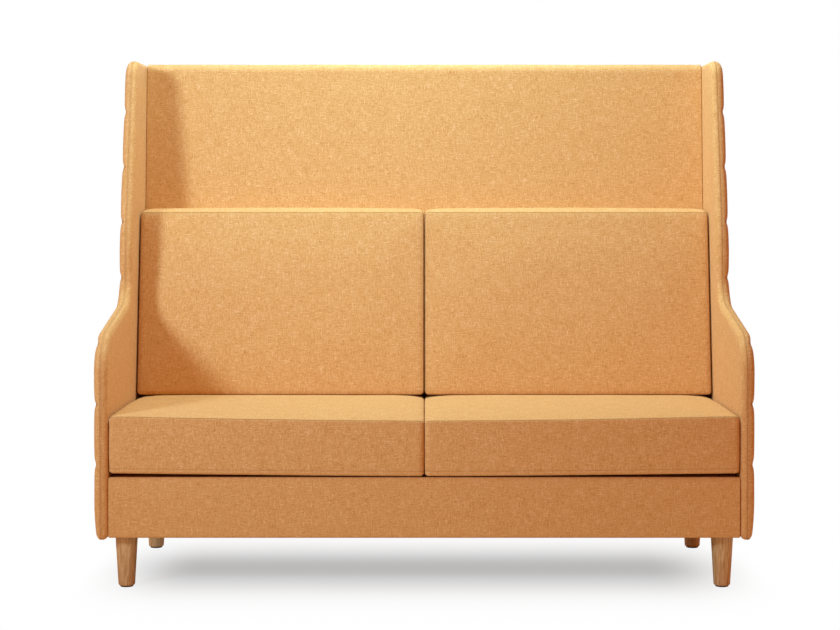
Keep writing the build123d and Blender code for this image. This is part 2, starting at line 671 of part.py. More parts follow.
with BuildPart() as side_tee_nuts:
    with BuildSketch(Plane.YZ.offset(core_far - TEE_BARREL_LONG)):
        with Locations(*side_bolt_points):
            Circle(TEE_BARREL / 2)
            Circle(BOLT / 2 + THREAD_ROOM, mode=Mode.SUBTRACT)
    extrude(amount=TEE_BARREL_LONG)
    with BuildSketch(Plane.YZ.offset(core_far)):
        with Locations(*side_bolt_points):
            Circle(TEE_FLANGE / 2)
            Circle(BOLT / 2 + THREAD_ROOM, mode=Mode.SUBTRACT)
    extrude(amount=TEE_FLANGE_THICK)
    mirror(about=Plane.YZ)
keep(side_tee_nuts, "side_tee_nuts")

# ------------------------------------------------------------------ seat cushions
seat_rear = lean_y(0, back_cover_foot) - SEAT_REAR_ROOM
seat_foot = BASE_TOP + SEAT_SIT
seat_x0 = CUSHION_GAP / 2
seat_x1 = inner_x - SEAT_SIDE_ROOM
backrest_foot = SEAT_HEIGHT + BACKREST_SIT
backrest_foot_y = lean_y(0, backrest_foot) - BACKREST_THICK
seat_level_y = backrest_foot_y - SEAT_LEVEL


def seat_body(inset):
    """Right seat cushion, lofted from its inner to its outer end, drawn in by inset."""
    corner = SEAT_CORNER - inset
    top = SEAT_HEIGHT - inset
    y0 = front_y + SEAT_SETBACK + inset
    y1 = seat_rear - inset
    with BuildPart() as body:
        for k in range(STATIONS):
            t = k / (STATIONS - 1)
            x = seat_x0 + inset + t * (seat_x1 - seat_x0 - 2 * inset)
            foot = seat_foot + inset + SEAT_LIFT * t * t
            seam = top - SEAT_SEAM_DROP + SEAT_SEAM_RISE * t**SEAT_SEAM_EASE
            swell = 1 - (2 * t - 1) ** 2
            face = y0 - SEAT_BULGE_ENDS - (SEAT_BULGE - SEAT_BULGE_ENDS) * swell
            with BuildSketch(Plane.YZ.offset(x)):
                with BuildLine():
                    TangentArc((y0, foot + corner), (y0 + corner, foot), tangent=(0, -1))
                    ThreePointArc((y0, foot + corner), (face, (foot + corner + seam) / 2), (y0, seam))
                    TangentArc((seat_level_y, top), (y0, seam), tangent=(-1, 0))
                    Line((seat_level_y, top), (y1 - corner, top))
                    TangentArc((y1 - corner, top), (y1, top - corner), tangent=(1, 0))
                    Line((y1, top - corner), (y1, foot + corner))
                    TangentArc((y1, foot + corner), (y1 - corner, foot), tangent=(0, -1))
                    Line((y1 - corner, foot), (y0 + corner, foot))
                make_face()
        loft()
    return body.part


def zip_fastener(plane, zip_long):
    """Zip in the thickness of a cover: tape, teeth and slider, outwards along the plane."""
    with BuildPart() as fastener:
        with BuildSketch(plane.offset(-SKIN)):
            Rectangle(zip_long, ZIP_TAPE)
        extrude(amount=SKIN / 2)
        with BuildSketch(plane.offset(-SKIN / 2)):
            Rectangle(zip_long - ZIP_TAPE, ZIP_TEETH)
            with Locations(((zip_long - ZIP_TAPE - ZIP_SLIDER) / 2, 0)):
                Rectangle(ZIP_SLIDER, ZIP_SLIDER)
        extrude(amount=SKIN / 2 - SEAL)
    return fastener


def cushion(body, zip_plane, wide, name):
    """Write the cover, the foam and the zip of a cushion that is so wide, right and left."""
    zip_long = wide - 2 * ZIP_MARGIN
    with BuildPart() as cover:
        add(body(0))
        add(body(SKIN), mode=Mode.SUBTRACT)
        with BuildSketch(zip_plane.offset(ZIP_CUT)):
            Rectangle(zip_long + 2 * ZIP_ROOM, ZIP_TAPE + 2 * ZIP_ROOM)
        extrude(amount=-ZIP_CUT - SKIN - FOAM_ROOM, mode=Mode.SUBTRACT)
    keep_pair(cover, f"{name}_cover")
    with BuildPart() as foam:
        add(body(SKIN + FOAM_ROOM))
    keep_pair(foam, f"{name}_foam")
    keep_pair(zip_fastener(zip_plane, zip_long), f"{name}_zip")


seat_zip_at = ((seat_x0 + seat_x1) / 2, seat_rear, seat_foot + SEAT_ZIP_UP)
seat_zip = Plane(origin=seat_zip_at, x_dir=(-1, 0, 0), z_dir=(0, 1, 0))
cushion(seat_body, seat_zip, seat_x1 - seat_x0, "seat_cushion")

# ------------------------------------------------------------------ back cushions
backrest_x0 = CUSHION_GAP / 2
backrest_x1 = inner_x - BACKREST_SIDE_ROOM
backrest_rake = radians(BACKREST_RAKE)
backrest_seam = SEAT_HEIGHT + BACKREST_TALL


def backrest_y(z):
    """Y of a back cushion's front face at its ends, at the height z."""
    return backrest_foot_y + (z - backrest_foot) * tan(backrest_rake)


def backrest_body(inset):
    """Right back cushion, lofted from its inner to its outer end, drawn in by inset."""
    corner = BACKREST_CORNER - inset
    foot = backrest_foot + inset
    seam = backrest_seam - inset
    rear_seam = seam - BACKREST_REAR_DROP
    rear = BACKREST_REAR_ROOM + inset
    with BuildPart() as body:
        for k in range(STATIONS):
            t = k / (STATIONS - 1)
            swell = 1 - (2 * t - 1) ** 2
            x = backrest_x0 + inset + t * (backrest_x1 - backrest_x0 - 2 * inset)
            crown = seam + BACKREST_CROWN_ENDS + (BACKREST_CROWN - BACKREST_CROWN_ENDS) * swell
            bulge = BACKREST_BULGE_ENDS + (BACKREST_BULGE - BACKREST_BULGE_ENDS) * swell
            low = (backrest_y(foot + corner) + inset, foot + corner)
            high = (backrest_y(seam) + inset, seam)
            middle = (foot + corner + seam) / 2
            rear_high = (lean_y(-rear, rear_seam), rear_seam)
            rear_low = (lean_y(-rear, foot + corner), foot + corner)
            top = ((high[0] + rear_high[0]) / 2, crown)
            with BuildSketch(Plane.YZ.offset(x)):
                with BuildLine():
                    TangentArc((low[0] + corner, foot), low, tangent=(-1, 0))
                    ThreePointArc(low, (backrest_y(middle) + inset - bulge, middle), high)
                    ThreePointArc(high, top, rear_high)
                    Line(rear_high, rear_low)
                    TangentArc((rear_low[0] - corner, foot), rear_low, tangent=(1, 0))
                    Line((rear_low[0] - corner, foot), (low[0] + corner, foot))
                make_face()
        loft()
    return body.part


zip_up = (backrest_foot + BACKREST_ZIP_UP - back_bottom) / cos(lean)
rear_face = back_plane.offset(BACKREST_REAR_ROOM)
zip_origin = rear_face.from_local_coords(((backrest_x0 + backrest_x1) / 2, zip_up, 0))
backrest_zip = Plane(origin=zip_origin, x_dir=(-1, 0, 0), z_dir=(0, cos(lean), -sin(lean)))
cushion(backrest_body, backrest_zip, backrest_x1 - backrest_x0, "back_cushion")
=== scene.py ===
"""Upholstery, finishes and studio of a high back settee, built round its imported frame."""

import json
import math

import bpy
import bmesh
import numpy as np
from bpy.props import FloatProperty, FloatVectorProperty, IntProperty, PointerProperty
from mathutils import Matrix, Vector, bvhtree, geometry, interpolate, kdtree, noise


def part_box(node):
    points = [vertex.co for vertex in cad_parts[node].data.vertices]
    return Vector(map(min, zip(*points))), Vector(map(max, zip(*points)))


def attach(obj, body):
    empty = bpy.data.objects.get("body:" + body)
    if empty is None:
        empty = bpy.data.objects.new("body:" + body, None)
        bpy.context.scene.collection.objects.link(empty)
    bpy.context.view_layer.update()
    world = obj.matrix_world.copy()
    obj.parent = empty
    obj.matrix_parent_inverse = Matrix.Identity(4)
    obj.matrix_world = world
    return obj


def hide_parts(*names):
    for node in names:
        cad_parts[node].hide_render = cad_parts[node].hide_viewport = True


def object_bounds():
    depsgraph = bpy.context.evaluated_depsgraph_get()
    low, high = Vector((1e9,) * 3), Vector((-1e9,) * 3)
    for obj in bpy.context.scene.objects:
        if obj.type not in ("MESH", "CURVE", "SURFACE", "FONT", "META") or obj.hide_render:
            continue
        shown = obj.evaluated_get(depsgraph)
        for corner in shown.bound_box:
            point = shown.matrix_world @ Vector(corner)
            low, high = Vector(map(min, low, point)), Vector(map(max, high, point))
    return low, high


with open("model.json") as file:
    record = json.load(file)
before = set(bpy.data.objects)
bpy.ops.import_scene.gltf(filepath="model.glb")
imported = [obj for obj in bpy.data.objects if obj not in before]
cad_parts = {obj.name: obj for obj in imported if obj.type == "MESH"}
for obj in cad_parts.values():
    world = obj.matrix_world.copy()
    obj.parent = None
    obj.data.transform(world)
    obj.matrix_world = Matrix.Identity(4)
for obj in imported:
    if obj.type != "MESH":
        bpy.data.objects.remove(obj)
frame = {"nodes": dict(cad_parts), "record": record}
cad_low, cad_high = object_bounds()

bl_info = {
    "name": "High back settee",
    "version": (1, 0, 0),
    "blender": (4, 5, 0),
    "location": "3D View > Sidebar > Settee",
    "description": "Upholstery, finishes and studio of a high back settee",
    "category": "Object",
}

MM = 0.001
FRAME = "settee_frame"
SIDES = {"left": -1, "right": 1}
STITCH_THICK = 0.9 * MM
# Painted shade: the cloth's colour is darkened along the quilted seams, where their grooves fall in
# shade.
QUILT_SHADE = 0.75         # how dark the cloth gets along a quilted seam
TUCK_REACH = 0.105        # height over which a side panel's foot is drawn in
ROW_POINTS = 60           # points of a row of stitches across a side panel
TUCK = 7 * MM             # how far it is drawn in at the bottom
HIDDEN_SHARE = 0.8        # how far through the back's thickness its hidden foot lies
NEEDLE = 2.6 * MM         # from a twin-needle seam to each of its rows of stitches
SEAM_IN = 1.6 * MM        # from a cushion's face to the seam on its border
SEAT_IN = 5 * MM          # how far behind the front of the frame's seat its form starts
REST_CORNER = 10 * MM     # round of a back cushion's upright corners

# ------------------------------------------------------------------ read from the frame
panel_low, panel_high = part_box("side_inner_cover_right")
seat_low, seat_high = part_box("seat_cushion_cover_right")
rest_low, rest_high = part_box("back_cushion_cover_right")
base_low, base_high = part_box("base_front_cover")
front_low, front_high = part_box("back_front_cover")
rear_low, rear_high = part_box("back_rear_cover")
INNER_X = panel_low.x                     # inner face of the right side panel
OUTER_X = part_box("side_outer_cover_right")[1].x
PANEL = OUTER_X - INNER_X                 # thickness of a side panel
FRONT_Y = panel_low.y                     # front of the arms
REAR_Y = panel_high.y
FOOT_Z = panel_low.z                      # underside of the side panels
TOP_Z = panel_high.z


# ------------------------------------------------------------------ what a user would change
def amount(name, default, description, **more):
    """A plain number."""
    return FloatProperty(name=name, default=default, description=description, **more)


def length(name, default, description):
    """A size in metres."""
    return amount(name, default, description, unit="LENGTH", precision=4)


def slope(name, default, description):
    """An angle, given in degrees."""
    return amount(name, math.radians(default), description, subtype="ANGLE")


def linear(text):
    """Linear colour of an sRGB hex value."""
    parts = [int(text[i : i + 2], 16) / 255 for i in (1, 3, 5)]
    return [c / 12.92 if c <= 0.04045 else ((c + 0.055) / 1.055) ** 2.4 for c in parts] + [1.0]


def colour(name, text, description):
    """A colour, given as an sRGB hex value."""
    return FloatVectorProperty(
        name=name, default=linear(text), description=description,
        subtype="COLOR", size=4, min=0, max=1,
    )


class SETTEE_PG_cloth(bpy.types.PropertyGroup):
    body: colour("Body", "#E0A868", "Main colour of the wool")
    dark: colour("Dark flecks", "#CA8C4B", "Darker fibres spun into the yarn")
    light: colour("Light flecks", "#F3C792", "Lighter fibres spun into the yarn")
    thread: length("Thread", 2.6 * MM, "Spacing of the threads as drawn, about twice the real one")
    fleck: length("Fleck", 3.4 * MM, "Size of the melange flecks")
    stitch: length("Stitch", 3.4 * MM, "Length of a stitch")
    stitch_gap: length("Stitch spacing", 4.8 * MM, "From one stitch to the next")


class SETTEE_PG_panel(bpy.types.PropertyGroup):
    arm_height: length("Arm height", 0.642, "Floor to the corner of the arm's top and front lines")
    arm_slope: slope("Arm slope", 10.3, "Rise of the arm to the back")
    arm_round: length("Arm round", 0.105, "Round of the arm's front corner")
    wing_setback: length("Wing setback", 0.422, "Arm front to the wing's front line")
    wing_foot: length("Wing foot round", 0.080, "Hollow where the arm turns up into the wing")
    wing_bend: length("Wing bend", 0.872, "Height where the wing starts to lean back")
    wing_bend_round: length("Wing bend round", 0.600, "Round of that bend")
    wing_rake: slope("Wing rake", 13.8, "Lean of the wing's front edge above the bend")
    wing_top: length("Wing top round", 0.054, "Round of the wing's top front corner")
    wing_drop: length("Wing top drop", 3 * MM, "How much lower the padding ends than the frame")
    wing_tip: length("Wing tip", 4.5 * MM, "How much lower the wing's top is at the outer face")
    wing_taper: length("Wing taper", 1.5 * MM, "How far the wing's outer face leans in at the top")
    wing_reach: length("Wing tip reach", 0.09, "How far down from the top both take hold")
    back_crown: length("Back crown", 2.2 * MM, "How far the back's padding stands above its frame")
    rear_top: length("Rear top round", 0.030, "Round of the wing's top rear corner")
    bottom: length("Bottom round", 0.020, "Round of the lower corners")
    lean: slope("Lean", 5.0, "Lean of the back and of the panels' rear edges")
    edge: length("Edge round", 0.017, "Round of the panel's edge all round")
    seam: length("Seam", 0.017, "Inner face to the twin-needle seam")
    quilt_first: length("First quilting", 0.322, "Height of the lowest quilted seam")
    quilt_pitch: length("Quilting pitch", 0.1527, "Height of a quilted channel")
    quilt_depth: length("Quilting depth", 4.2 * MM, "How deep a quilted seam is drawn in")
    quilt_count: IntProperty(name="Quilted seams", default=7, min=1, description="Their number")


class SETTEE_PG_cushion(bpy.types.PropertyGroup):
    corner: length("Corner", 0.012, "Round of the cushions' upright corners")
    edge: length("Edge", 6 * MM, "Round of the sewn edges")
    seat_drop: length("Seat drop", 0.0135, "Crown of the seat to its front seam, in the middle")
    seat_rise: length("Seat rise", 0.0115, "How much higher that seam is at the arms")
    seat_level: length("Seat level", 0.438, "Front of the seat to where it gets level")
    seat_gap: length("Seat gap", 5 * MM, "Lift of the underside's front, in the middle")
    seat_lift: length("Seat lift", 7 * MM, "How much more it is lifted at the arms")
    seat_touch: length("Seat touch", 0.9 * MM, "How far both seats bulge towards each other")
    rest_rake: slope("Back cushion rake", 9.9, "Lean of a back cushion's front face")
    rest_foot: length("Back cushion foot", 0.1596, "Thickness of a back cushion at its foot")
    rest_seam: length("Back cushion seam", 0.959, "Height of the upper front seam")
    rest_crown: length("Back cushion crown", 0.011, "Rise of its top above the seam")
    rest_fall: length("Back cushion fall", 3 * MM, "How much of that rise is gone at its ends")
    rest_spread: length("Back cushion spread", 2.5 * MM, "How much wider the stuffed cushion is")
    rear_drop: length("Rear drop", 4 * MM, "Front seam to the lower rear seam")
    swell: length("Swell", 5 * MM, "How far the faces stand out in their middle")
    stuffing: amount("Stuffing", 0.8, "Pressure of the stuffing on the cloth")
    voxel: length("Voxel", 13 * MM, "Size of the cells that the stuffing is worked out in")
    frames: IntProperty(name="Frames", default=20, min=2, description="Steps of the simulation")
    cap: length("Cap", 9 * MM, "Most that the stuffing moves a point")
    seat_crown: length("Seat crown", 2.2 * MM, "Most that it raises the top of a seat")


class SETTEE_PG_studio(bpy.types.PropertyGroup):
    key: amount("Key light", 14.0, "Power of the key light", unit="POWER")
    key_distance: length("Key distance", 3.6, "From the key light to the left wing")
    key_spread: slope("Key spread", 60.0, "Opening of the grid in front of the key light")
    key_colour: colour("Key colour", "#C5E9FF", "Colour of the key light")
    top: amount("Top light", 51.0, "Power of the softbox above", unit="POWER")
    top_colour: colour("Top colour", "#C0F4FF", "Colour of the softbox above")
    rear: amount("Rear light", 60.0, "Power of the softbox behind", unit="POWER")
    fill: amount("Fill", 0.46, "Strength of the light from all round")
    fill_colour: colour("Fill colour", "#FFA868", "Colour of the light from all round")
    floor: colour("Floor", "#F0DCC8", "Paint of the floor")
    contact: colour("Contact", "#8C8C8C", "Paint of the floor as it is seen in the shade")
    shade: amount("Shade", 0.485, "How light the shade under the settee is")
    shade_y: length("Shade place", -0.085, "Middle of that shade, front to back")
    shade_deep: length("Shade depth", 0.31, "How far it reaches to the front and to the back")
    shade_full: length("Shade width", 0.60, "Half the width over which the shade is full")
    shade_end: length("Shade end", 0.92, "Half the width where the shade ends")


# ------------------------------------------------------------------ small tools
def unit(v):
    """Vectors of length one, row by row."""
    return v / np.maximum(np.linalg.norm(v, axis=-1, keepdims=True), 1e-9)


def rounded_outline(corners, rounds, step):
    """Closed outline through the corners, counter-clockwise, with its points about step apart."""
    path = []
    for i, corner in enumerate(corners):
        here = Vector(corner)
        back = (Vector(corners[i - 1]) - here).normalized()
        onward = (Vector(corners[(i + 1) % len(corners)]) - here).normalized()
        turn = back.angle(onward)
        start = here + back * (rounds[i] / math.tan(turn / 2))
        end = here + onward * (rounds[i] / math.tan(turn / 2))
        centre = here + (back + onward).normalized() * (rounds[i] / math.sin(turn / 2))
        sweep = math.pi - turn
        count = max(3, math.ceil(sweep / math.radians(6)))
        for k in range(count + 1):
            a, b = math.sin((1 - k / count) * sweep), math.sin(k / count * sweep)
            path.append(centre + ((start - centre) * a + (end - centre) * b) / math.sin(sweep))
    return even_steps(np.array(path), step)


def even_steps(path, step):
    """The closed path again, with its points the same distance apart."""
    closed = np.vstack([path, path[:1]])
    along = np.concatenate([[0], np.cumsum(np.linalg.norm(np.diff(closed, axis=0), axis=1))])
    at = np.linspace(0, along[-1], max(8, round(along[-1] / step)), endpoint=False)
    return np.column_stack([np.interp(at, along, closed[:, i]) for i in range(path.shape[1])])


def inward(outline):
    """Inward unit normals of a counter-clockwise outline."""
    tangent = unit(np.roll(outline, -1, axis=0) - np.roll(outline, 1, axis=0))
    return np.column_stack([-tangent[:, 1], tangent[:, 0]])


def inside_of(ring, points, margin):
    """The points that lie inside the ring and at least margin from it."""
    a, b = ring, np.roll(ring, -1, axis=0)
    keep = []
    for block in np.array_split(points, max(1, len(points) // 2000)):
        p = block[:, None, :]
        over = (a[:, 1] > p[..., 1]) != (b[:, 1] > p[..., 1])
        rise = np.where(b[:, 1] == a[:, 1], 1e-12, b[:, 1] - a[:, 1])
        cross = a[:, 0] + (p[..., 1] - a[:, 1]) / rise * (b[:, 0] - a[:, 0])
        within = (over & (p[..., 0] < cross)).sum(1) % 2 == 1
        far = ((p - a) ** 2).sum(-1).min(1) > margin**2
        keep.append(block[within & far])
    return np.vstack(keep)


def fill_ring(ring, points, margin):
    """Triangles that fill the ring through the points: rows of indexes, and the points used."""
    used = inside_of(ring, points, margin)
    count = len(ring)
    made = geometry.delaunay_2d_cdt(
        [Vector(p) for p in np.vstack([ring, used])], [], [list(range(count))], 1, 1e-7
    )
    original = [min(ids) for ids in made[3]]
    return [[original[i] for i in face] for face in made[2]], used


def bands(count, rings):
    """Quads between neighbouring rings of count points each."""
    faces = []
    for k in range(0, (rings - 1) * count, count):
        for i in range(count):
            j = (i + 1) % count
            faces.append((k + i, k + j, k + count + j, k + count + i))
    return faces


def slab(outline, section, low_points, high_points, margin):
    """Padded slab: rings round the outline along the section, with both faces filled.

    The section is a list of (inset, height). It returns points (u, v, height) and faces."""
    normals = inward(outline)
    count = len(outline)
    rings = [outline + normals * inset for inset, _ in section]
    points = [np.column_stack([r, np.full(count, h)]) for r, (_, h) in zip(rings, section)]
    faces = bands(count, len(section))
    total = count * len(section)
    for ring_index, extra, flip in ((0, low_points, True), (len(section) - 1, high_points, False)):
        triangles, used = fill_ring(rings[ring_index], extra, margin)
        points.append(np.column_stack([used, np.full(len(used), section[ring_index][1])]))
        for face in triangles:
            ids = [ring_index * count + i if i < count else total + i - count for i in face]
            faces.append(ids[::-1] if flip else ids)
        total += len(used)
    return np.vstack(points), faces


def grid_points(us, vs):
    """All points of a grid, every other row shifted by half a step."""
    rows = []
    for k, v in enumerate(vs):
        shift = (us[1] - us[0]) / 2 if k % 2 else 0.0
        rows.append(np.column_stack([us + shift, np.full(len(us), v)]))
    return np.vstack(rows)


def bump(distance, reach):
    """One at the distance 0, falling to nothing at about twice the reach."""
    return np.exp(-((distance / reach) ** 2))


def fade(distance, reach):
    """One at the distance 0, falling evenly to nothing at the reach."""
    return np.clip(1 - distance / reach, 0, 1)


def ripple(points, size, seed):
    """Smooth noise from -1 to 1 at each point, with waves about size long."""
    return np.array([noise.noise(Vector(p) / size + Vector((seed, 0, 0))) for p in points])


def to_object(name, points, faces, material, smooth=True):
    """Mesh object of the points and faces, with its faces turned outwards."""
    mesh = bpy.data.meshes.new(name)
    mesh.from_pydata([tuple(p) for p in points], [], [tuple(f) for f in faces])
    edit = bmesh.new()
    edit.from_mesh(mesh)
    bmesh.ops.recalc_face_normals(edit, faces=edit.faces)
    edit.to_mesh(mesh)
    edit.free()
    for face in mesh.polygons:
        face.use_smooth = smooth
    mesh.materials.append(material)
    piece = bpy.data.objects.new(name, mesh)
    bpy.context.scene.collection.objects.link(piece)
    return piece


def lay_weave(piece):
    """UV map in metres, square to whichever way each face looks, for the threads to follow."""
    mesh = piece.data
    points = mesh_points(mesh)
    corner = np.empty(len(mesh.loops), int)
    mesh.loops.foreach_get("vertex_index", corner)
    normals = np.array([p.normal for p in mesh.polygons])
    sizes = np.array([p.loop_total for p in mesh.polygons])
    axis = np.repeat(np.abs(normals).argmax(1), sizes)
    place = points[corner]
    across = np.where(axis == 0, place[:, 1], place[:, 0])
    up = np.where(axis == 2, place[:, 1], place[:, 2])
    layer = mesh.uv_layers.new(name="weave")
    layer.uv.foreach_set("vector", np.column_stack([across, up]).astype(np.float32).ravel())


def evaluated_mesh(piece):
    """New mesh of the piece with its modifiers applied."""
    return bpy.data.meshes.new_from_object(
        piece.evaluated_get(bpy.context.evaluated_depsgraph_get())
    )


def mesh_points(mesh):
    """Points of a mesh as rows."""
    points = np.empty(len(mesh.vertices) * 3)
    mesh.vertices.foreach_get("co", points)
    return points.reshape(-1, 3)


def paint_seam_shade(piece, amount):
    """Vertex attribute from 0 to 1 that says how near the cloth is to a sewn line, where the cloth
    material paints shade.
    """
    layer = piece.data.attributes.new("seam", "FLOAT", "POINT")
    layer.data.foreach_set("value", np.clip(amount, 0, 1).astype(np.float32))


def upholster(name, points, faces, sewn, body, replaced):
    """Cloth piece with its weave and the painted shade of its seams, on its body in place of the
    frame's pieces named.
    """
    piece = to_object(name, points, faces, MATERIALS["wool_cloth"])
    lay_weave(piece)
    paint_seam_shade(piece, sewn)
    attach(piece, body)
    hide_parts(*replaced)
    return piece


# ------------------------------------------------------------------ materials
def add_node(tree, kind, inputs=None, stops=(), **settings):
    """Add a node with its settings and links, and a colour ramp's stops of (position, colour).

    An input is a value, a socket, or a node whose first output it takes."""
    made = tree.nodes.new(kind)
    for key, value in settings.items():
        setattr(made, key, value)
    for key, value in (inputs or {}).items():
        if isinstance(value, bpy.types.Node):
            value = value.outputs[0]
        if isinstance(value, bpy.types.NodeSocket):
            tree.links.new(value, made.inputs[key])
        else:
            made.inputs[key].default_value = value
    if stops:
        elements = made.color_ramp.elements
        while len(elements) < len(stops):
            elements.new(0.5)
        for element, (position, shade) in zip(elements, stops):
            element.position = position
            element.color = shade
    return made


def node_tree(owner):
    """Emptied node tree of a material or a world."""
    owner.use_nodes = True
    owner.node_tree.nodes.clear()
    return owner.node_tree


def finished(name, look, *values):
    """Material of a finish. The look adds its nodes and gives the inputs of the shader."""
    material = bpy.data.materials.new(name)
    tree = node_tree(material)
    shader = add_node(tree, "ShaderNodeBsdfPrincipled", look(tree, *values))
    add_node(tree, "ShaderNodeOutputMaterial", {"Surface": shader})
    return material


def wool_cloth(tree):
    """Melange wool upholstery, plain woven and lightly felted.

    Fibres of three shades are spun into the yarn, so the cloth is mottled and never one colour.
    The felted nap gives a soft sheen and no gloss. The threads are too fine for the render, so
    they are drawn about twice as coarse as real ones."""
    look = bpy.context.scene.settee_cloth
    place = add_node(tree, "ShaderNodeTexCoord").outputs["Object"]
    weave = add_node(tree, "ShaderNodeUVMap", uv_map="weave")
    near = add_node(tree, "ShaderNodeTexNoise", {
        "Vector": place, "Scale": 1 / look.fleck, "Detail": 3.0, "Roughness": 0.62,
    })
    broad = add_node(tree, "ShaderNodeTexNoise", {
        "Vector": place, "Scale": 1 / (9 * look.fleck), "Detail": 2.0, "Roughness": 0.5,
    })
    threads = []
    for across, along in ((look.thread, 9 * look.thread), (9 * look.thread, look.thread)):
        stretched = add_node(tree, "ShaderNodeMapping", {
            "Vector": weave, "Scale": (1 / across, 1 / along, 1.0),
        })
        threads.append(add_node(tree, "ShaderNodeTexNoise", {
            "Vector": stretched, "Scale": 1.0, "Detail": 2.0, "Roughness": 0.55,
        }, noise_dimensions="2D"))
    crossing = add_node(tree, "ShaderNodeMath", dict(enumerate(threads)), operation="MAXIMUM")
    mixed = add_node(tree, "ShaderNodeMath", {0: near, 1: 0.50}, operation="MULTIPLY")
    for part, share in ((crossing, 0.42), (broad, 0.08)):
        mixed = add_node(tree, "ShaderNodeMath", {
            0: part, 1: share, 2: mixed,
        }, operation="MULTIPLY_ADD")
    shade = add_node(tree, "ShaderNodeValToRGB", {"Fac": mixed}, [
        (0.38, look.dark), (0.50, look.body), (0.54, look.body), (0.66, look.light),
    ])
    # Painted shade: along sewn and quilted seams the cloth's colour is mixed towards a dark brown,
    # for the shade in their grooves.
    seam = add_node(tree, "ShaderNodeAttribute", attribute_name="seam").outputs["Fac"]
    seam_shaded = add_node(tree, "ShaderNodeMix", {
        "Factor": seam, "A": shade, "B": linear("#8A4E1E"),
    }, data_type="RGBA").outputs["Result"]
    height = add_node(tree, "ShaderNodeMath", {0: crossing, 1: near}, operation="ADD")
    relief = add_node(tree, "ShaderNodeBump", {
        "Height": height, "Strength": 0.35, "Distance": 0.5 * MM,
    })
    return {
        "Base Color": seam_shaded, "Normal": relief, "Roughness": 0.92, "Specular IOR Level": 0.2,
        "Sheen Weight": 0.12, "Sheen Roughness": 0.5, "Sheen Tint": linear("#FFE2B8"),
    }


def long_grain(tree, pale, mid, dark, grain, coat, roughness):
    """Wood with its grain along Z: streaks about grain wide, and finer pores along them."""
    place = add_node(tree, "ShaderNodeTexCoord").outputs["Object"]
    streaked = add_node(tree, "ShaderNodeMapping", {
        "Vector": place, "Scale": (1 / grain, 1 / grain, 1 / (22 * grain)),
    })
    streaks = add_node(tree, "ShaderNodeTexNoise", {
        "Vector": streaked, "Scale": 1.0, "Detail": 5.0, "Roughness": 0.6, "Distortion": 0.4,
    })
    pores = add_node(tree, "ShaderNodeTexNoise", {
        "Vector": streaked, "Scale": 5.0, "Detail": 2.0, "Roughness": 0.7,
    })
    blank = add_node(tree, "ShaderNodeTexNoise", {"Vector": place, "Scale": 0.9, "Detail": 0.0})
    mixed = streaks
    for part, share in ((pores, 0.3), (blank, 0.25)):
        mixed = add_node(tree, "ShaderNodeMath", {
            0: part, 1: share, 2: mixed,
        }, operation="MULTIPLY_ADD")
    shade = add_node(tree, "ShaderNodeValToRGB", {"Fac": mixed}, [
        (0.58, linear(dark)), (0.74, linear(mid)), (0.92, linear(pale)),
    ])
    relief = add_node(tree, "ShaderNodeBump", {
        "Height": pores, "Strength": 0.25, "Distance": 0.2 * MM,
    })
    return {
        "Base Color": shade, "Normal": relief, "Roughness": roughness,
        "Coat Weight": coat, "Coat Roughness": 0.35,
    }


def flecked(tree, pale, dark, size, roughness, relief_depth=0.0, metallic=0.0):
    """Plain stock whose colour and surface vary in flecks about size across."""
    flecks = add_node(tree, "ShaderNodeTexNoise", {
        "Vector": add_node(tree, "ShaderNodeTexCoord").outputs["Object"],
        "Scale": 1 / size, "Detail": 3.0, "Roughness": 0.6,
    })
    shade = add_node(tree, "ShaderNodeValToRGB", {"Fac": flecks}, [
        (0.35, linear(dark)), (0.65, linear(pale)),
    ])
    inputs = {"Base Color": shade, "Roughness": roughness, "Metallic": metallic}
    if relief_depth:
        inputs["Normal"] = add_node(tree, "ShaderNodeBump", {
            "Height": flecks, "Strength": 0.5, "Distance": relief_depth,
        })
    return inputs


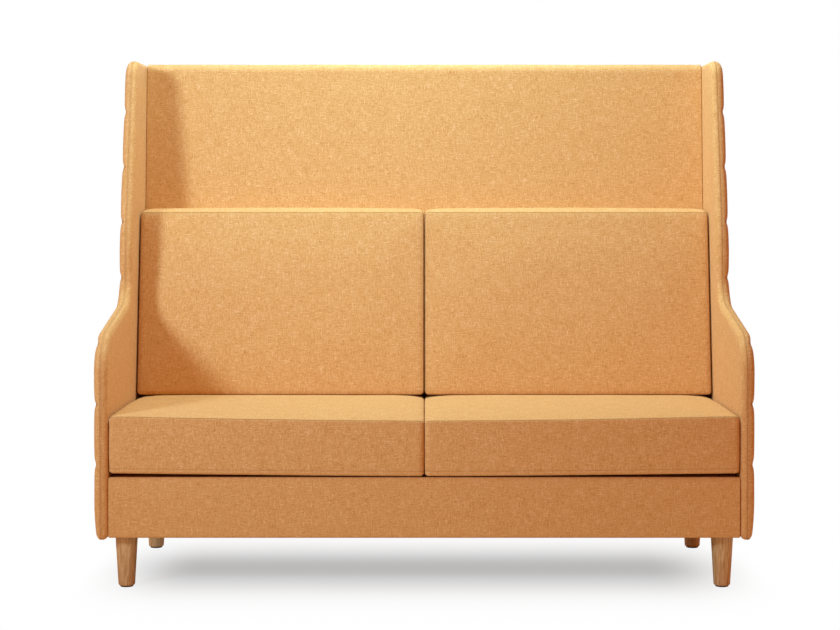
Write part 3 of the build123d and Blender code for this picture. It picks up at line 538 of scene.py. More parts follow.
# By the record's slot: the material's name, the look, and the look's own values.
FINISHES = {
    # Wool, melange spun, woven and felted: mottled and matt, as wool_cloth says.
    "wool_cloth": ("melange_wool_cloth", wool_cloth),
    # Solid oak, turned and oiled: honey colour, straight grain, a soft low gloss.
    "oak": ("oiled_oak", long_grain, "#E8C592", "#D2A870", "#B28652", 4 * MM, 0.15, 0.5),
    # Birch plywood, sanded: pale and dry, with a wide quiet figure.
    "plywood": ("birch_plywood", long_grain, "#DCC39A", "#CBB084", "#B39365", 14 * MM, 0.0, 0.7),
    # Spruce frame timber, planed: yellow white with brown year rings.
    "frame_timber": ("spruce", long_grain, "#DCC08A", "#CBA66B", "#A97C45", 8 * MM, 0.0, 0.65),
    # Polyurethane foam, cut: cream, matt and open celled.
    "foam": ("cut_foam", flecked, "#EDE6CE", "#D2C7A4", 2 * MM, 0.95, 0.5 * MM),
    # Jute webbing, woven: brown, coarse and dry.
    "webbing": ("jute_webbing", flecked, "#BC9C6E", "#8E7048", 2.5 * MM, 0.9, 0.4 * MM),
    # Needled felt: grey with pale and dark fibres.
    "felt": ("needled_felt", flecked, "#9C9994", "#716E69", 3 * MM, 0.95, 0.4 * MM),
    # Spun-bonded polypropylene cloth: black, with a faint emboss.
    "dust_cloth": ("spun_bonded_cloth", flecked, "#2C2B2A", "#171615", 1.8 * MM, 0.8, 0.2 * MM),
    # Woven polyester zip tape with nylon teeth: tan, slightly lustrous.
    "zip": ("zip_tape", flecked, "#B5763A", "#8F5927", 1.2 * MM, 0.6, 0.2 * MM),
    # Spring steel wire, oiled: dark grey with a dull drawn shine.
    "spring_steel": ("spring_steel", flecked, "#8B8D90", "#63656A", 2 * MM, 0.38, 0.0, 1.0),
    # Zinc plated steel: pale, with blue and yellow clouds.
    "zinc_steel": ("zinc_plated_steel", flecked, "#C6C9CC", "#A4A79F", 4 * MM, 0.32, 0.0, 1.0),
    # Moulded nylon: dark brown and dull.
    "glide_nylon": ("moulded_nylon", flecked, "#3A3430", "#27221F", 1.5 * MM, 0.5, 0.1 * MM),
    # Bonded polyester sewing thread, a shade darker than the cloth, so that it draws a fine line.
    "thread": ("sewing_thread", flecked, "#CB8C4C", "#A96C30", 1.5 * MM, 0.6),
}
MATERIALS = {}


def make_materials():
    """All finishes of the settee, by the slots of its record."""
    for slot, values in FINISHES.items():
        MATERIALS[slot] = finished(*values)


def finish_frame():
    """Give every piece of the frame the finish that the record names for it."""
    for part in frame["record"]["subparts"]:
        piece, slot = frame["nodes"][part["node"]], part["material_slot"]
        piece.data.materials.clear()
        piece.data.materials.append(MATERIALS[slot])


# ------------------------------------------------------------------ repeats along a path
def repeat_tree(name, boxy):
    """Geometry Nodes tree that sets small grains or bars along a path, a fixed distance apart."""
    tree = bpy.data.node_groups.new(name, "GeometryNodeTree")
    face = tree.interface
    face.new_socket("Geometry", in_out="INPUT", socket_type="NodeSocketGeometry")
    for label in ("Spacing", "Length", "Width", "Height"):
        face.new_socket(label, in_out="INPUT", socket_type="NodeSocketFloat")
    face.new_socket("Seed", in_out="INPUT", socket_type="NodeSocketInt")
    face.new_socket("Material", in_out="INPUT", socket_type="NodeSocketMaterial")
    face.new_socket("Geometry", in_out="OUTPUT", socket_type="NodeSocketGeometry")
    given = add_node(tree, "NodeGroupInput").outputs
    path = add_node(tree, "GeometryNodeMeshToCurve", {"Mesh": given["Geometry"]})
    steps = add_node(tree, "GeometryNodeResampleCurve", {
        "Curve": path, "Length": given["Spacing"],
    }, mode="LENGTH")
    if boxy:
        grain = add_node(tree, "GeometryNodeMeshCube", {"Size": (1.0, 1.0, 1.0)})
    else:
        grain = add_node(tree, "GeometryNodeMeshUVSphere", {
            "Segments": 6, "Rings": 4, "Radius": 0.5,
        })
    tangent = add_node(tree, "GeometryNodeInputTangent")
    turned = add_node(tree, "FunctionNodeAlignRotationToVector", {"Vector": tangent}, axis="X")
    uneven = add_node(tree, "FunctionNodeRandomValue", {
        2: 0.85, 3: 1.1, "Seed": given["Seed"],
    }, data_type="FLOAT").outputs[1]
    long = add_node(tree, "ShaderNodeMath", {0: given["Length"], 1: uneven}, operation="MULTIPLY")
    size = add_node(tree, "ShaderNodeCombineXYZ", {
        "X": long, "Y": given["Width"], "Z": given["Height"],
    })
    placed = add_node(tree, "GeometryNodeInstanceOnPoints", {
        "Points": steps, "Instance": grain, "Rotation": turned, "Scale": size,
    })
    real = add_node(tree, "GeometryNodeRealizeInstances", {"Geometry": placed})
    shown = add_node(tree, "GeometryNodeSetMaterial", {
        "Geometry": real, "Material": given["Material"],
    })
    add_node(tree, "NodeGroupOutput", {"Geometry": shown})
    return tree


def along_paths(name, paths, tree_name, spacing, size, slot, seed, closed=False):
    """Plain mesh of what the tree sets along the paths: grains of the size (long, wide, high)."""
    points, edges = [], []
    for path in paths:
        start = len(points)
        points += [tuple(p) for p in path]
        edges += [(i, i + 1) for i in range(start, len(points) - 1)]
        if closed:
            edges.append((len(points) - 1, start))
    mesh = bpy.data.meshes.new(name + "_path")
    mesh.from_pydata(points, edges, [])
    carrier = bpy.data.objects.new(name + "_path", mesh)
    bpy.context.scene.collection.objects.link(carrier)
    boxy = tree_name == "set_bars"
    tree = bpy.data.node_groups.get(tree_name) or repeat_tree(tree_name, boxy)
    modifier = carrier.modifiers.new("repeat", "NODES")
    modifier.node_group = tree
    values = {
        "Spacing": spacing, "Length": size[0], "Width": size[1], "Height": size[2],
        "Seed": seed, "Material": MATERIALS[slot],
    }
    for socket in tree.interface.items_tree:
        if socket.in_out == "INPUT" and socket.name in values:
            modifier[socket.identifier] = values[socket.name]
    bpy.context.view_layer.update()
    result = evaluated_mesh(carrier)
    result.name = name
    bpy.data.objects.remove(carrier)
    bpy.data.meshes.remove(mesh)
    for face in result.polygons:
        face.use_smooth = not boxy
    piece = bpy.data.objects.new(name, result)
    bpy.context.scene.collection.objects.link(piece)
    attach(piece, FRAME)


def stitches(name, paths, seed, closed=False):
    """Sewing stitches along the paths."""
    look = bpy.context.scene.settee_cloth
    size = (look.stitch, STITCH_THICK, STITCH_THICK)
    along_paths(name, paths, "set_stitches", look.stitch_gap, size, "thread", seed, closed)


# ------------------------------------------------------------------ side panels
def quilt_levels():
    """Heights of the quilted seams."""
    look = bpy.context.scene.settee_panel
    return np.array([look.quilt_first + look.quilt_pitch * i for i in range(look.quilt_count)])


def quilting(z, across):
    """How far the quilted cloth is drawn in at each point, and how near it is to a seam, which sets
    the painted shade there.
    """
    look = bpy.context.scene.settee_panel
    away = np.abs(z[:, None] - quilt_levels()[None, :]).min(1)
    pull = look.quilt_depth * np.exp(-((away / (9 * MM)) ** 1.25))
    pull += 1.6 * MM * np.exp(-away / (35 * MM))
    pucker = ripple(np.column_stack([across * 3, z, z * 0]), 22 * MM, 5.0) * 0.5 * MM
    return pull + pucker * np.exp(-away / (16 * MM)), bump(away, 2.2 * MM)


def quilted_rows(low, high, step):
    """Heights from low to high about step apart, close together at the quilted seams."""
    levels = quilt_levels()
    beside = np.array([-14, -9, -6, -3.5, -1.6, 0, 1.6, 3.5, 6, 9, 14]) * MM
    close = (levels[:, None] + beside).ravel()
    between = [z for z in np.arange(low, high, step) if np.abs(levels - z).min() > 19 * MM]
    rows = np.sort(np.concatenate([close, between]))
    return rows[(rows >= low) & (rows <= high)]


def panel_outline(step):
    """Side panel seen from its side, as points (y, z)."""
    look = bpy.context.scene.settee_panel
    wing_y = FRONT_Y + look.wing_setback
    wing_z = look.arm_height + look.wing_setback * math.tan(look.arm_slope)
    top = TOP_Z - look.wing_drop
    wing_top_y = wing_y + (top - look.wing_bend) * math.tan(look.wing_rake)
    corners = [
        (cad_high.y - (TOP_Z - FOOT_Z) * math.tan(look.lean), FOOT_Z),
        (cad_high.y - look.wing_drop * math.tan(look.lean), top),
        (wing_top_y, top),
        (wing_y, look.wing_bend),
        (wing_y, wing_z),
        (FRONT_Y, look.arm_height),
        (FRONT_Y, FOOT_Z),
    ]
    rounds = [
        look.bottom, look.rear_top, look.wing_top, look.wing_bend_round,
        look.wing_foot, look.arm_round, look.bottom,
    ]
    return rounded_outline(corners, rounds, step)


def edge_section(thick, low_round, high_round, seam, steps):
    """Section round a slab's edge, with close rings at the seam: (inset, height) pairs."""
    heights = []
    for k in range(steps + 1):
        a = math.pi / 2 * k / steps
        heights.append(low_round * (1 - math.cos(a)))
        heights.append(thick - high_round * (1 - math.cos(a)))
    close = np.array([1, 1.8, NEEDLE / MM, 4, 5.5]) * MM
    heights += [seam, *(seam - close), *(seam + close)]
    heights = sorted(h for h in heights if 0 <= h <= thick)
    kept = [heights[0]]
    for h in heights[1:]:
        if h - kept[-1] > 0.25 * MM:
            kept.append(h)
    section = []
    for h in kept:
        inset = 0.0
        if h < low_round:
            inset = low_round - math.sqrt(max(0, low_round**2 - (low_round - h) ** 2))
        elif h > thick - high_round:
            inset = high_round - math.sqrt(max(0, high_round**2 - (h - thick + high_round) ** 2))
        section.append((inset, h))
    return section


def foot_tuck(z):
    """How far a side panel's outer face is drawn in near its foot."""
    return TUCK * np.clip((FOOT_Z + TUCK_REACH - z) / TUCK_REACH, 0, 1) ** 2


def quilt_rows(outline, sign):
    """Paths of the stitches across a side panel's outer face, one for each quilted seam."""
    look = bpy.context.scene.settee_panel
    edge = outline + inward(outline) * (look.edge * 0.4)
    tail = np.zeros(ROW_POINTS)
    tail[[0, -1]] = 4 * MM
    rows = []
    for level in quilt_levels():
        hits = np.where((edge[:, 1] - level) * (np.roll(edge[:, 1], -1) - level) < 0)[0]
        ends = sorted(edge[i, 0] for i in hits)
        ys = np.linspace(ends[0], ends[-1], ROW_POINTS)
        depth, _ = quilting(np.full(ROW_POINTS, level), ys)
        xs = sign * (OUTER_X - depth - foot_tuck(level) - tail - 0.1 * MM)
        rows.append(np.column_stack([xs, ys, np.full(ROW_POINTS, level)]))
    return rows


def side_panel(side):
    """Upholstered panel that is arm below and wing above: plain inside, quilted outside."""
    look = bpy.context.scene.settee_panel
    sign = SIDES[side]
    outline = panel_outline(6.5 * MM)
    section = edge_section(PANEL, look.edge, look.edge, look.seam, 8)
    ys = np.arange(FRONT_Y, REAR_Y, 12 * MM)
    plain = grid_points(ys, np.arange(FOOT_Z, TOP_Z, 12 * MM))
    quilted = grid_points(ys, quilted_rows(FOOT_Z, TOP_Z, 12 * MM))
    points, faces = slab(outline, section, plain, quilted, 6 * MM)
    y, z, w = points.T
    # The outer face is quilted and drawn in at its foot, and both faces are a little uneven.
    outward = np.clip((w - look.seam - 2 * MM) / (PANEL - look.seam - 2 * MM), 0, 1)
    pull, quilt_shade_mask = quilting(z, y)
    pull = pull + foot_tuck(z)
    wave = ripple(np.column_stack([y, z, w * 0]), 0.16, 3.0 + sign) * 0.8 * MM
    inner = fade(w, look.edge) * fade(w, 3 * MM)
    w = w - outward * (pull + 0.4 * np.abs(wave)) + inner * np.abs(wave) * 0.6
    # The wing's top rolls over towards the outer face.
    tip = fade(TOP_Z - z, look.wing_reach)
    z = z - look.wing_tip * tip * w / PANEL
    w = w - look.wing_taper * tip**2 * outward
    # The twin-needle seam lies in a groove, with small puckers along it.
    count = len(outline)
    rings = len(section) * count
    ring_inset = np.tile(inward(outline), (len(section), 1))
    seam_away = points[:rings, 2] - look.seam
    groove = 0.7 * MM * bump(seam_away, 0.9 * MM) + 0.6 * MM * bump(seam_away, 4 * MM)
    pucker = ripple(np.column_stack([points[:rings, :2], seam_away * 0]), 14 * MM, 9.0) * 0.25 * MM
    y[:rings] += ring_inset[:, 0] * (groove + pucker)
    z[:rings] += ring_inset[:, 1] * (groove + pucker)
    # Painted shade: the cloth is darkened at the seam's groove, along its rows of stitches and,
    # outside, along the quilted seams.
    sewn = np.zeros(len(points))
    sewn[:rings] = 0.45 * bump(seam_away, 0.9 * MM)
    sewn[:rings] += 0.15 * bump(np.abs(seam_away) - 3 * MM, 0.8 * MM)
    sewn = np.maximum(sewn, QUILT_SHADE * quilt_shade_mask * (outward > 0.5))
    x = sign * (INNER_X + w)
    names = [f"side_{part}_{side}" for part in ("inner_cover", "outer_cover", "foam")]
    piece = upholster(f"side_panel_{side}", np.column_stack([x, y, z]), faces, sewn, FRAME, names)
    seam_rings = []
    for offset in (-NEEDLE, NEEDLE):
        ring = int(np.argmin([abs(h - look.seam - offset) for _, h in section]))
        ids = slice(ring * count, (ring + 1) * count)
        seam_rings.append(np.column_stack([x[ids], y[ids], z[ids]]))
    return seam_rings, quilt_rows(outline, sign)


class SETTEE_OT_side_panels(bpy.types.Operator):
    """Make both side panels, with their twin-needle seams and their quilting stitches"""

    bl_idname = "settee.side_panels"
    bl_label = "Side panels"

    def execute(self, context):
        for side in SIDES:
            rings, rows = side_panel(side)
            stitches(f"edge_stitches_{side}", rings, 3, True)
            stitches(f"quilt_stitches_{side}", rows, 4)
        return {"FINISHED"}


# ------------------------------------------------------------------ pieces of one cross-section
def extruded(profile, hidden, xs, end_round):
    """Points and faces of a profile (y, z) along xs, its shown edges rounded in at both ends.

    hidden marks the profile's points that lie inside the settee and stay where they are."""
    normals = inward(profile)
    loose = np.where(hidden, 0.0, 1.0)[:, None]
    points = []
    for x in xs:
        near = min(x - xs[0], xs[-1] - x)
        inset = 0.0
        if near < end_round:
            inset = end_round - math.sqrt(end_round**2 - (end_round - near) ** 2)
        ring = profile + normals * loose * inset
        points.append(np.column_stack([np.full(len(ring), x), ring]))
    count = len(profile)
    faces = [(a, d, c, b) for a, b, c, d in bands(count, len(xs))]
    faces.append(tuple(range(count)))
    faces.append(tuple((len(xs) - 1) * count + i for i in range(count))[::-1])
    return np.vstack(points), faces


def columns(x0, x1, step, ends):
    """Places from x0 to x1 about step apart, closer together at both ends."""
    middle = np.linspace(x0, x1, max(3, round((x1 - x0) / step)))
    close = np.array([0.12, 0.35, 0.65, 1.0, 1.6]) * ends
    middle = middle[(middle > x0 + 2 * ends) & (middle < x1 - 2 * ends)]
    return np.concatenate([[x0], x0 + close, middle, (x1 - close)[::-1], [x1]])


class SETTEE_OT_back(bpy.types.Operator):
    """Make the high back, plain in front and quilted behind"""

    bl_idname = "settee.back"
    bl_label = "Back"

    def execute(self, context):
        look = context.scene.settee_panel
        lean = look.lean
        top = rear_high.z + look.back_crown
        foot_front = front_low.z
        thick = (rear_high.y - front_low.y) - (rear_high.z - foot_front) * math.tan(lean)
        thick = round(thick * math.cos(lean) / MM) * MM

        def place(up, depth):
            """Point (y, z) so far up the back's front face and so deep behind it."""
            return front_low.y + (up - foot_front) * math.tan(lean) + depth / math.cos(lean), up

        foot = rear_low.z
        inner = thick * HIDDEN_SHARE
        corners = [
            place(foot, inner), place(foot + 2 * MM, thick), place(top, thick),
            place(top, 0.0), place(foot_front, 0.0), place(foot_front, inner),
        ]
        rounds = [1 * MM, 8 * MM, 22 * MM, 22 * MM, 1 * MM, 1 * MM]
        profile = rounded_outline(corners, rounds, 7 * MM)
        rear = np.abs(profile[:, 0] - [place(z, thick)[0] for z in profile[:, 1]]) < 0.1 * MM
        first, last = np.flatnonzero(rear)[[0, -1]]
        rows = quilted_rows(profile[first, 1] + 3 * MM, profile[last, 1] - 3 * MM, 9 * MM)
        profile = np.vstack([profile[: first + 1], [place(z, thick) for z in rows], profile[last:]])
        y, z = profile.T
        depth = (y - front_low.y - (z - foot_front) * math.tan(lean)) * math.cos(lean)
        hidden = (np.abs(depth - inner) < 3 * MM) & (z < foot_front + 2 * MM)
        hidden |= z < foot_front + 0.5 * MM
        hidden &= depth < thick - 2 * MM
        xs = columns(front_low.x, front_high.x, 14 * MM, 4 * MM)
        points, faces = extruded(profile, hidden, xs, 2.5 * MM)
        depths = np.tile(depth, len(xs))
        shown = 1 - np.tile(hidden, len(xs)).astype(float)
        x, y, z = points.T
        behind = np.clip((depths - thick + 8 * MM) / (8 * MM), 0, 1)
        pull, quilt_shade_mask = quilting(z, x)
        y = y - behind * shown * pull
        ahead = fade(depths, 14 * MM)
        swell = ripple(np.column_stack([x, z, z * 0]), 0.21, 7.0) * 0.9 * MM
        y = y + ahead * shown * np.abs(swell) * 0.8
        rim = ripple(np.column_stack([x, z * 0, z * 0]), 0.19, 2.0)
        z = z + shown * (z > top - 22 * MM) * rim * 0.8 * MM
        # Painted shade along the quilted seams behind.
        sewn = QUILT_SHADE * quilt_shade_mask * (behind > 0.5)
        names = ["back_front_cover", "back_rear_cover", "back_front_foam", "back_rear_foam"]
        piece = upholster("back_panel", np.column_stack([x, y, z]), faces, sewn, FRAME, names)
        rows = []
        row_x = np.linspace(front_low.x + 6 * MM, front_high.x - 6 * MM, 2 * ROW_POINTS)
        for level in quilt_levels():
            pulled, _ = quilting(row_x * 0 + level, row_x)
            row_y = place(level, thick)[0] - pulled
            rows.append(np.column_stack([row_x, row_y, row_x * 0 + level]))
        stitches("back_quilt_stitches", rows, 6)
        return {"FINISHED"}


class SETTEE_OT_base(bpy.types.Operator):
    """Make the base's front border, the cloth under the cushions and the staples underneath"""

    bl_idname = "settee.base"
    bl_label = "Base"

    def execute(self, context):
        y0, y1 = base_low.y, base_high.y
        z0, z1 = base_low.z, base_high.z
        top_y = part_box("base_front_pad")[1].y
        lip = z0 + 3 * MM
        corners = [(y0, z0), (y1, z0), (y1, lip), (top_y, lip), (top_y, z1), (y0, z1)]
        rounds = [5 * MM, 0.6 * MM, 0.6 * MM, 0.6 * MM, 2 * MM, 9 * MM]
        profile = rounded_outline(corners, rounds, 4 * MM)
        y, z = profile.T
        hidden = (y > top_y - 1 * MM) & (z < z1 - 3 * MM)
        hidden |= (y > y0 + 9 * MM) & (z < z0 + 4 * MM)
        hidden &= z > z0 + 1 * MM
        xs = columns(base_low.x, base_high.x, 14 * MM, 4 * MM)
        points, faces = extruded(profile, hidden, xs, 2.6 * MM)
        x, y, z = points.T
        face = bump(y - y0, 4 * MM)
        height = (z - z0) / (z1 - z0)
        y = y - face * (0.9 * MM * np.sin(np.pi * np.clip(height, 0, 1)))
        y = y + face * ripple(np.column_stack([x, z, z * 0]), 0.15, 4.0) * 0.7 * MM
        z = z + 2.4 * MM * np.clip(height * 20 - 19, 0, 1) * bump(y - y0 - 8 * MM, 12 * MM)
        names = ["base_front_cover", "base_front_pad"]
        piece = upholster("base_border", np.column_stack([x, y, z]), faces, x * 0, FRAME, names)
        self.platform()
        self.underside()
        return {"FINISHED"}

    def platform(self):
        """Cloth under the cushions, dipping a little between the spring rows."""
        low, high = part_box("platform_cover")
        springs = np.linspace(*(corner.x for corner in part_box("seat_springs")), 8)
        xs = np.linspace(low.x, high.x, 160)
        ys = np.linspace(low.y, high.y, 56)
        grid_x, grid_y = np.meshgrid(xs, ys, indexing="ij")
        rim = np.minimum(1, np.minimum(grid_y - low.y, high.y - grid_y) / 0.05)
        near = np.abs(grid_x[..., None] - springs).min(-1)
        dip = 1.2 * MM * rim * (1 - bump(near, 0.045)) + 0.1 * MM
        top = high.z - dip
        upper = np.column_stack([grid_x.ravel(), grid_y.ravel(), top.ravel()])
        lower = upper - [0, 0, 1.2 * MM]
        size = len(upper)
        ids = np.arange(size).reshape(grid_x.shape)
        quads = np.stack([ids[:-1, :-1], ids[1:, :-1], ids[1:, 1:], ids[:-1, 1:]], -1)
        faces = []
        for quad in quads.reshape(-1, 4):
            faces += [quad, size + quad[::-1]]
        rim_ids = np.concatenate([ids[:, 0], ids[-1, 1:], ids[-2::-1, -1], ids[0, -2:0:-1]])
        for a, b in zip(rim_ids, np.roll(rim_ids, -1)):
            faces.append((b, a, size + a, size + b))
        points = np.vstack([upper, lower])
        sewn = np.zeros(2 * size)
        piece = upholster("platform_cloth", points, faces, sewn, FRAME, ["platform_cover"])

    def underside(self):
        """Staples that hold the thin cloth under the rails."""
        low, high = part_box("dust_cover")
        z = low.z - 0.2 * MM
        inset = 12 * MM
        ring = [
            (low.x + inset, low.y + inset, z), (high.x - inset, low.y + inset, z),
            (high.x - inset, high.y - inset, z), (low.x + inset, high.y - inset, z),
        ]
        size = (10 * MM, 0.9 * MM, 0.6 * MM)
        along_paths("staples", [ring], "set_bars", 60 * MM, size, "zinc_steel", 8, True)


# ------------------------------------------------------------------ cushions
def puff(points, faces, held):
    """How far each point moves when the form is stuffed: a rough copy is blown up as cloth.

    The copy is held where the seams are. The held points are given as a mask."""
    look = bpy.context.scene.settee_cushion
    rough = to_object("rough", points, faces, MATERIALS["wool_cloth"])
    remesh = rough.modifiers.new("remesh", "REMESH")
    remesh.mode = "VOXEL"
    remesh.voxel_size = look.voxel
    coarse = evaluated_mesh(rough)
    rough.modifiers.clear()
    rough.data = coarse
    start = mesh_points(coarse)
    tree = kdtree.KDTree(int(held.sum()))
    for i, point in enumerate(points[held]):
        tree.insert(point, i)
    tree.balance()
    pins = [i for i, point in enumerate(start) if tree.find(point)[2] < look.voxel]
    rough.vertex_groups.new(name="sewn").add(pins, 1.0, "REPLACE")
    cloth = rough.modifiers.new("cloth", "CLOTH")
    settings = {
        "vertex_group_mass": "sewn", "mass": 0.3, "tension_stiffness": 40.0,
        "compression_stiffness": 40.0, "bending_stiffness": 1.0, "use_pressure": True,
        "uniform_pressure_force": look.stuffing,
    }
    for key, value in settings.items():
        setattr(cloth.settings, key, value)
    cloth.settings.effector_weights.gravity = 0.0
    cloth.collision_settings.use_collision = False
    cloth.point_cache.frame_start = 1
    cloth.point_cache.frame_end = look.frames
    for step in range(1, look.frames + 1):
        bpy.context.scene.frame_set(step)
    blown = evaluated_mesh(rough)
    moved = mesh_points(blown) - start
    reach = np.linalg.norm(moved, axis=1, keepdims=True)
    moved *= np.minimum(1, look.cap / np.maximum(reach, 1e-9))
    surface = bvhtree.BVHTree.FromPolygons(
        [Vector(p) for p in start], [list(f.vertices) for f in coarse.polygons]
    )
    out = np.zeros_like(points)
    for i, point in enumerate(points):
        where, _, face, _ = surface.find_nearest(Vector(point))
        ids = list(coarse.polygons[face].vertices)
        share = interpolate.poly_3d_calc([Vector(start[k]) for k in ids], where)
        out[i] = sum(weight * moved[k] for weight, k in zip(share, ids))
    bpy.context.scene.frame_set(1)
    bpy.data.objects.remove(rough)
    for mesh in (coarse, blown):
        bpy.data.meshes.remove(mesh)
    return out


def boxed_form(low, high, thick, corner, foot_round, edge, seams):
    """Boxed cushion cut: points (u, v, h) across, along and through it, faces, wall, ring normals.

    wall is 1 on the border and 0 on both faces."""
    corners = [low, (high[0], low[1]), high, (low[0], high[1])]
    outline = rounded_outline(corners, [corner] * 4, 7 * MM)
    section = edge_section(thick, foot_round, edge, seams[-1], 6)
    rows = list(np.linspace(foot_round, thick - edge, 14)[1:-1])
    rows += [seam + d * MM for seam in seams[:-1] for d in (-3, -1, 0, 1, 3)]
    section = sorted(set(section + [(0.0, h) for h in rows]), key=lambda place: place[1])
    grid = grid_points(np.arange(low[0], high[0], 13 * MM), np.arange(low[1], high[1], 13 * MM))
    points, faces = slab(outline, section, grid, grid, 7 * MM)
    rings = len(section) * len(outline)
    normal = np.zeros((len(points), 2))
    normal[:rings] = -np.tile(inward(outline), (len(section), 1))
    wall = np.zeros(len(points))
    wall[:rings] = 1.0
    return points, faces, wall, normal


def near_seam(h, wall, seam):
    """Distance of each point from a seam that runs round the border, large on both faces."""
    return np.abs(h - seam) + (1 - wall)


def held_points(seam_a, seam_b, wall, to_side, to_end, corner):
    """Mask of what the stuffing can't move: the points at both seams and the upright corners."""
    sewn = np.minimum(seam_a, seam_b) < 1 * MM
    return (wall > 0) & (sewn | ((to_side < corner) & (to_end < corner)))


def midway(share, end):
    """One halfway through a cushion's border, falling to nothing near both of its seams."""
    inner = np.clip((share - end) / (1 - 2 * end), 0, 1)
    return 4 * inner * (1 - inner)


def unevenness(across, sign, tuck, small, wave):
    """Tucks at a seam, small dents and broad waves. Each is (length, seed, height in mm)."""
    flat = across * [1, 1, 0]
    return [
        ripple(points, size, seed * sign) * high * MM
        for points, (size, seed, high) in ((flat, tuck), (across, small), (across, wave))
    ]


def loose_cushion(name, side, points, faces, sewn):
    """Cushion in its cover, on its own body."""
    body = f"{name}_{side}"
    replaced = [f"{name}_cover_{side}", f"{name}_foam_{side}"]
    return upholster(body, points, faces, sewn, body, replaced)


def seat_cushion(side):
    """Loose seat cushion: boxed, level behind, falling to its front seam."""
    look = bpy.context.scene.settee_cushion
    sign = SIDES[side]
    x0, x1 = seat_low.x, seat_high.x
    y0, y1 = seat_low.y + SEAT_IN, seat_high.y
    z0, z1 = seat_low.z, seat_high.z
    thick = z1 - z0
    top_seam, foot_seam = thick - SEAM_IN, 15 * MM
    points, faces, wall, normal = boxed_form(
        (x0, y0), (x1, y1), thick, look.corner, look.corner - 2 * MM, look.edge,
        (foot_seam, top_seam),
    )
    u, v, h = points.T.copy()
    t = np.clip((u - x0) / (x1 - x0), 0, 1)
    wide = 1 - (2 * t - 1) ** 2
    share = h / thick
    # The underside's front is lifted, and the top falls to its front seam.
    raised = np.clip(1.3 - (v - y0) / 0.12, 0, 1)
    foot = z0 + (look.seat_gap + look.seat_lift * t**1.4) * raised**2 * (3 - 2 * raised)
    drop = look.seat_drop - look.seat_rise * t**1.6
    ahead = np.clip((y0 + look.seat_level - v) / look.seat_level, 0, 1)
    to_side = np.minimum(u - x0, x1 - u)
    to_end = np.minimum(v - y0, y1 - v)
    # The top rolls over at both sides, more at the arm and most at the rear.
    roll = (3 + 3 * t) * MM * fade(to_side, 0.05) ** 2
    roll += 5 * MM * fade(to_side, 0.03) * np.clip(1.3 - (y1 - v) / 0.25, 0, 1)
    nose = 5 * MM * fade(to_side, 0.01) ** 2 * fade(v - y0, 0.03)
    top = z1 - 2 * MM - nose - drop * ahead**2 - roll * (0.35 + 0.65 * (1 - ahead))
    z = foot + share * (top - foot)
    belly = midway(share, 0.08)
    seam_top = near_seam(h, wall, top_seam)
    seam_foot = near_seam(h, wall, foot_seam)
    held = held_points(seam_top, seam_foot, wall, to_side, to_end, look.corner)
    swell = puff(np.column_stack([u, v, z]), faces, held)
    # The border stands out between its seams at the front, and is drawn in beside them.
    looks_ahead = np.clip(-normal[:, 1], 0, 1)
    looks_aside = np.abs(normal[:, 0]) * (1 - looks_ahead)
    # Where both seats meet, their edges are pressed together, but for the rear.
    meets = wall * (share > 0.5) * np.clip(-(normal[:, 0] + 0.7) / 0.3, 0, 1)
    meets *= np.clip((0.08 - v) / 0.04, 0, 1)
    out = wall * looks_ahead * (look.swell * 0.3 * wide + 0.6 * MM * belly)
    out -= wall * 0.8 * MM * (1 - belly) * looks_aside
    out -= wall * 1.5 * MM * (1 - belly) * np.clip(normal[:, 1], 0, 1)
    tuck, small, wave = unevenness(
        np.column_stack([u, v, h]), sign,
        (16 * MM, 23.0, 0.45), (35 * MM, 17.0, 0.35), (120 * MM, 11.0, 0.9),
    )
    close = np.exp(-np.minimum(seam_top, seam_foot) / (12 * MM))
    out += wall * ((wave + small) * belly + tuck * close) - 0.5 * MM * bump(seam_foot, 1.2 * MM)
    # All of that goes on the form, with the stuffing, which hardly raises the level top.
    upper = np.clip(share * 1.4 - 0.4, 0, 1)
    u = u + normal[:, 0] * out + swell[:, 0] * looks_aside
    v = v + normal[:, 1] * out + swell[:, 1] * (looks_ahead + 1 - wall)
    z = z + upper * (wave + small) * (1 - 0.5 * bump(seam_top, 5 * MM))
    z = z - 0.9 * MM * bump(seam_top, 1.3 * MM) * (1 - meets)
    z = z + look.seat_crown * np.tanh(swell[:, 2] / look.seat_crown) * upper
    # Painted shade along the top and foot seams, none where both seats meet.
    sewn = 0.75 * bump(seam_top, 1.1 * MM) * (1 - meets) + 0.3 * bump(seam_foot, 1.0 * MM)
    u = u - 0.6 * meets * np.clip(u - x0, 0, look.edge)
    u = u - look.seat_touch * wall * (normal[:, 0] < -0.7) * np.clip((v - y0) / 0.012, 0, 1)
    x = sign * np.clip(u, x0 - look.seat_touch, x1)
    points = np.column_stack([x, np.minimum(v, y1), z])
    piece = loose_cushion("seat_cushion", side, points, faces, sewn)


